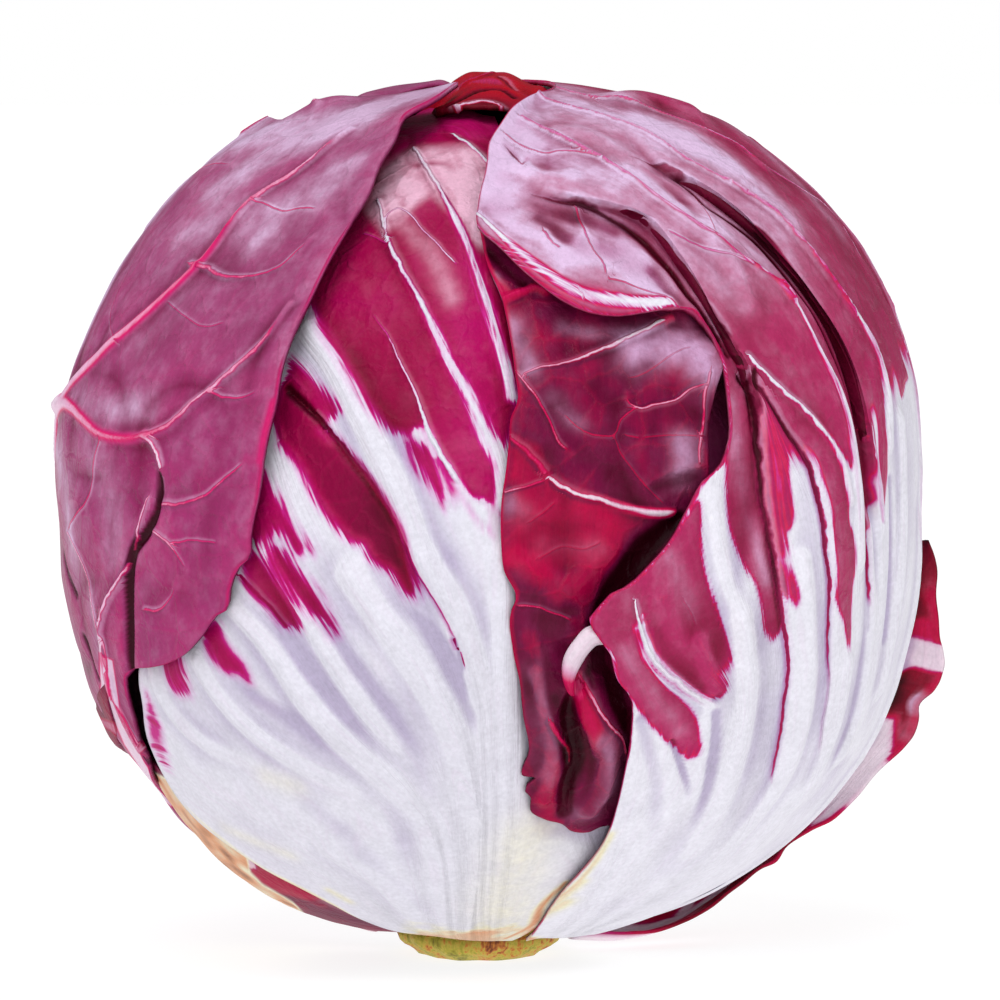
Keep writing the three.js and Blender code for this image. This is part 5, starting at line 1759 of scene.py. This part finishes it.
def back_right_leaf():
    """The right of the two leaves behind, whose red tip stands up between the leaves in front."""
    tips = seen((545, 114, -1.8), (508, 108, -0.8), (482, 106, -0.5), (460, 106, -0.5), (436, 106, -0.9))
    outline = [
        (11.5, 9, 9, -2.5), (30, 34, 34, -2.5), (55, 52, 52, -2.5), (90, 58, 58, -2.4), (130, 50, 50, -2.4),
        (155, 34, 30, -1.8), (170, 24, 18, -0.8), (180, 19, 14, 0.2),
    ]
    leaf = Leaf(outline_rails(150, outline, tips), spacing=0.65)
    veined_sheath(leaf, 150, 140, 71)
    crown = smooth(leaf.polar, 158, 166)
    leaf.tone += (0.72 + 0.3 * noise(leaf.flat, 4, 72) - leaf.tone) * crown
    leaf.lift += 0.35 * noise(leaf.flat, 4.5, 73) * crown
    right, _ = front_view(place(leaf.directions, leaf.lift))
    left_of_tip = smooth(-right, -455, -420)
    leaf.lift += crown * (0.4 - 1.8 * smooth(np.abs(right - 488), 14, 50) - 2.0 * left_of_tip)
    leaf.lift -= 2.4 * crown * smooth(right, 540, 566)
    leaf.ribs(
        (drawn(446, 100, 462, 95, 480, 90, 500, 89, 514, 93), 0.5, -0.5, 1.3),
        (drawn(442, 104, 459, 102, 482, 99, 495, 100, 508, 107), 0.35, 0.3, 0.3),
        (drawn(462, 84, 480, 78, 493, 74), 0.3, 0.3, 0.5),
        (drawn(500, 78, 515, 86), 0.3, -0.3, 1.0),
        soft=0.8,
    )
    solids = [leaf_solid(leaf, 0.5)]
    add_piece("back_right_leaf_blade", "back_right_leaf", solids, CRIMSON_BACK)


def back_left_leaf():
    """The left of the two leaves behind. Over the crown it stands as high as the leaf in front."""
    outline = [
        (11.5, 9, 9, -3.4), (30, 34, 34, -3.2), (55, 50, 50, -3.0), (90, 56, 54, -2.8), (130, 48, 46, -2.8),
        (150, 38, 36, -2.8), (164, 28, 30, -2.8), (172, 22, 29, -3.2), (178, 14, 27, -3.6),
        (181, 6, 23, -3.8),
    ]
    leaf = Leaf(outline_rails(-155, outline), spacing=0.65)
    veined_sheath(leaf, -155, 138, 81)
    front_margin = np.vstack([around((-152, 140), (-148, 148)),
                              seen((250, 131), (340, 107), (390, 94), (458, 84))])
    distance, _, hand = leaf.near(front_margin, 60)
    right, _ = front_view(place(leaf.directions, leaf.lift))
    rise = 3.1 * smooth(right, 310, 375) * smooth(-right, -478, -440)
    # where its neighbour laps it, it lies well under
    lapped = np.degrees(np.arcsin(leaf.directions @ rightwards(150)))
    leaf.lift -= 1.7 * smooth(-lapped, -67, -59) * smooth(-leaf.polar, -148, -134)
    leaf.lift += rise * smooth(distance * hand, -0.5, 2.5) * smooth(leaf.polar, 138, 150) * (distance < 100)
    leaf.tone += (1.05 - leaf.tone) * smooth(leaf.polar, 140, 152)
    leaf.bloom_and_sheen += 0.1
    add_piece("back_left_leaf_blade", "back_left_leaf", [leaf_solid(leaf, 0.5)], MAUVE)


LEAVES_IN_RING = 3
OVERLAP = 2.6


def wrapped_leaf(node, longitude, half_width, start, depth, seed):
    """One leaf of a ring inside the head, its left margin over its neighbour and its right under."""
    rails = []
    for share in np.linspace(-1, 1, 5):
        lift = -depth - OVERLAP * (share + 1) / 2
        spots = [(longitude + share * half_width, polar, lift) for polar in np.linspace(start, 171, 7)]
        rails.append(around(*spots))
    leaf = Leaf(rails, spacing=2.6)
    leaf.rough(9, 0.35, seed)
    leaf.tone[:] = 1.2 * smooth(leaf.polar + 6 * noise(leaf.flat, 8, seed), 50, 80)
    for turn in np.linspace(-0.7, 0.7, 7) * half_width:
        path = around((longitude + turn * 0.6, start), (longitude + turn * 0.8, 60),
                      (longitude + turn, 120))
        leaf.rib(path, (3.2, 2.6, 1.5), 0.3, (0, 0.1, 1.0), soft=2.6)
    add_piece(node + "_blade", node, [leaf_solid(leaf, 1.1)], PALE_INNER)


def rings_of_leaves():
    # turn of the ring's first leaf, polar angle of its base, depth
    rings = [(20, 12.5, 7.9), (75, 13.5, 13.4), (10, 14.5, 18.9), (60, 15.5, 24.4)]
    number = 1
    for turn, start, depth in rings:
        for i in range(LEAVES_IN_RING):
            node = f"inner_leaf_{number:02d}"
            longitude = turn + i * 360 / LEAVES_IN_RING
            wrapped_leaf(node, longitude, 68, start, depth, 100 + number)
            number += 1
    for i in (1, 2):
        wrapped_leaf(f"heart_leaf_{i:02d}", 30 + 180 * (i - 1), 100, 17, 29.9, 120 + i)


def turned_solid(radii, tone):
    """A closed solid of rings of points about the upright, from an array [ring, turn, xyz]."""
    rings, turns = radii.shape[:2]
    faces = []
    for r in range(rings - 1):
        for t in range(turns):
            u = (t + 1) % turns
            faces.append((r * turns + t, r * turns + u, (r + 1) * turns + u, (r + 1) * turns + t))
    faces.append(tuple(range(turns))[::-1])
    faces.append(tuple(range((rings - 1) * turns, rings * turns)))
    points = radii.reshape(-1, 3)
    round_it, up_it = np.tile(np.arange(turns), rings), np.repeat(np.arange(rings), turns)
    grain = np.column_stack([round_it, up_it]).astype(float)
    return points, faces, looks_of((rings, turns), tone), grain, np.zeros_like(points)


def heart_bud():
    """The tight bud of tiny leaves in the middle, each margin lapping the next."""
    turn = np.linspace(0, 2 * math.pi, 72, endpoint=False)[None, :]
    polar = np.radians(np.linspace(4, 176, 37))[:, None]
    lap = (3 * turn / (2 * math.pi) + 1.2 * np.degrees(polar) / 180) % 1.0
    radius = HEART_RADIUS * (0.95 + 0.045 * smooth(lap, 0.0, 0.12) * (1 - lap))
    x, y = radius * np.sin(polar) * np.sin(turn), -radius * np.sin(polar) * np.cos(turn)
    z = HEAD_CENTRE[2] - radius * np.cos(polar) + 0 * turn
    tone = 0.1 + 0.8 * smooth(np.degrees(polar), 90, 150) * (0.4 + 0.6 * lap)
    solid = turned_solid(np.stack([x + LEAN, y, z], axis=-1), tone)
    add_piece("heart_bud_folds", "heart_bud", [solid], PALE_INNER)


def stem_core():
    """The cut stem, ragged where the knife went through, and the core that it carries."""
    profile = [
        (0.3, 0.25), (2.5, 0.3), (4.5, 0.1), (6.4, 0.0), (8.0, 0.0), (9.4, 0.4), (10.4, 0.9), (11.2, 1.5),
        (11.7, 2.1), (11.8, 2.9), (11.2, 3.8), (9.4, 5.4), (8.9, 9.0), (8.6, 14), (7.8, 20), (7.0, 26),
        (5.4, 31), (4.0, 33.4), (2.0, 34.3), (0.3, 34.5),
    ]
    turns = 120
    turn = np.linspace(0, 2 * math.pi, turns, endpoint=False)
    rows = []
    for radius, height in profile:
        level = np.full(turns, float(height))
        ring = np.stack([radius * np.sin(turn), -radius * np.cos(turn), level], axis=-1)
        ragged = smooth(radius, 6.0, 9.0) * smooth(-height, -8.0, -4.0)
        swell = 1 + 0.09 * ragged * noise(ring * [1, 1, 0.6], 2.6, 91) - 0.03 * ragged
        ring[:, :2] *= swell[:, None]
        if 0.0 < height < 3.0:
            ring[:, 2] += 0.7 * np.abs(noise(ring, 3.0, 92)) * smooth(radius, 1, 3)
        ring[:, 0] += LEAN * smooth(ring[:, 2], 0, LEAN_HEIGHT)
        rows.append(ring)
    solid = turned_solid(np.array(rows), 0.0)
    add_piece("stem_core_cut", "stem_core", [solid], CUT_STEM)


def cut_stem_skin():
    """Cut stem: moist pith that has dried yellow and browned, with olive skin round it."""
    material, node = fresh(bpy.data.materials, "dried cut stem")
    spot = node("ShaderNodeTexCoord", output="Object")
    # browning: patches about 4 mm across
    patches = node("ShaderNodeTexNoise",
                   {"Vector": spot, "Scale": 1000 / 4, "Detail": 4.0, "Roughness": 0.7})
    # fibres that run up the stem: 0.4 mm wide and 5 mm long
    stretch = (1000 / 0.4, 1000 / 0.4, 1000 / 5)
    along = node("ShaderNodeVectorMath", {0: spot, 1: stretch}, operation="MULTIPLY")
    fibres = node("ShaderNodeTexNoise", {"Vector": along, "Scale": 1.0, "Detail": 2.0})
    mixed = node("ShaderNodeMath", {0: fibres, 1: 0.35, 2: -0.17}, operation="MULTIPLY_ADD")
    mixed = node("ShaderNodeMath", {0: patches, 1: mixed}, operation="ADD")
    colours = [(0.3, "#7d6f1c"), (0.44, "#a9a032"), (0.52, "#c9b248"), (0.6, "#c8762e"), (0.7, "#7c3a16")]
    colour = node("ShaderNodeValToRGB", {"Fac": mixed}, ramp=colours)
    bump = node("ShaderNodeBump", {"Height": mixed, "Strength": 0.7, "Distance": 0.0006})
    skin = node("ShaderNodeBsdfPrincipled",
                {"Base Color": colour, "Roughness": 0.62, "IOR": 1.4, "Normal": bump})
    node("ShaderNodeOutputMaterial", {"Surface": skin})
    return material


CUT_STEM = cut_stem_skin()

left_leaf()
front_leaf()
crumpled_leaf()
right_leaf()
torn_right_leaf()
torn_left_leaf()
back_right_leaf()
back_left_leaf()
rings_of_leaves()
heart_bud()
stem_core()


# ------------------------------------------------------------------ floor, lights and camera
def studio():
    """A bright seamless floor under a wide overhead light, with a weaker light from the front."""
    reach = 12.0
    corners = [(-reach, -reach, 0), (reach, -reach, 0), (reach, reach, 0), (-reach, reach, 0)]
    floor_mesh = bpy.data.meshes.new("floor")
    floor_mesh.from_pydata(corners, [], [(0, 1, 2, 3)])
    floor = bpy.data.objects.new("floor", floor_mesh)
    bpy.context.collection.objects.link(floor)
    # a matt floor, evenly pale to the eye
    paint, node = fresh(bpy.data.materials, "matt white floor")
    finish = {"Base Color": linear("#808080"), "Roughness": 1.0, "Specular IOR Level": 0.0}
    finish |= {"Emission Color": linear("#ffffff"), "Emission Strength": 0.86}
    matt = node("ShaderNodeBsdfPrincipled", finish)
    node("ShaderNodeOutputMaterial", {"Surface": matt})
    floor_mesh.materials.append(paint)

    world, node = fresh(bpy.data.worlds, "studio")
    # the backdrop is white to the eye, and dimmer where it lights the head or shines back from it
    path = node("ShaderNodeLightPath", output="Is Camera Ray")
    glossy = node("ShaderNodeLightPath", output="Is Glossy Ray")
    light = node("ShaderNodeMix", {0: glossy, 2: AMBIENT, 3: REFLECTED})
    strength = node("ShaderNodeMix", {0: path, 2: light, 3: 1.0})
    backdrop = node("ShaderNodeBackground", {"Color": linear("#ffffff"), "Strength": strength})
    node("ShaderNodeOutputWorld", {"Surface": backdrop})
    bpy.context.scene.world = world
    # each light's name, turn about X and Z, strength and width
    for name, tilt, turn, strength, width in LIGHTS:
        light = bpy.data.lights.new(name, "SUN")
        light.energy = strength
        light.angle = math.radians(width)
        lamp = bpy.data.objects.new(name, light)
        lamp.rotation_euler = (math.radians(tilt), 0, math.radians(turn))
        bpy.context.collection.objects.link(lamp)

    camera = bpy.data.cameras.new("camera")
    camera.lens = LENS
    camera.sensor_width = SENSOR
    view = bpy.data.objects.new("camera", camera)
    view.location = (EYE * MM).tolist()
    view.rotation_euler = (math.pi / 2 - EYE_ELEVATION, 0, 0)
    bpy.context.collection.objects.link(view)
    bpy.context.scene.camera = view
    bpy.context.scene.view_settings.view_transform = "Standard"


AMBIENT = 0.58
REFLECTED = 0.13
LIGHTS = [
    ("overhead light", 25, -20, 1.25, 40),
    ("front light", 72, -12, 0.7, 60),
    ("side light", 84, 75, 0.35, 60),
]

studio()
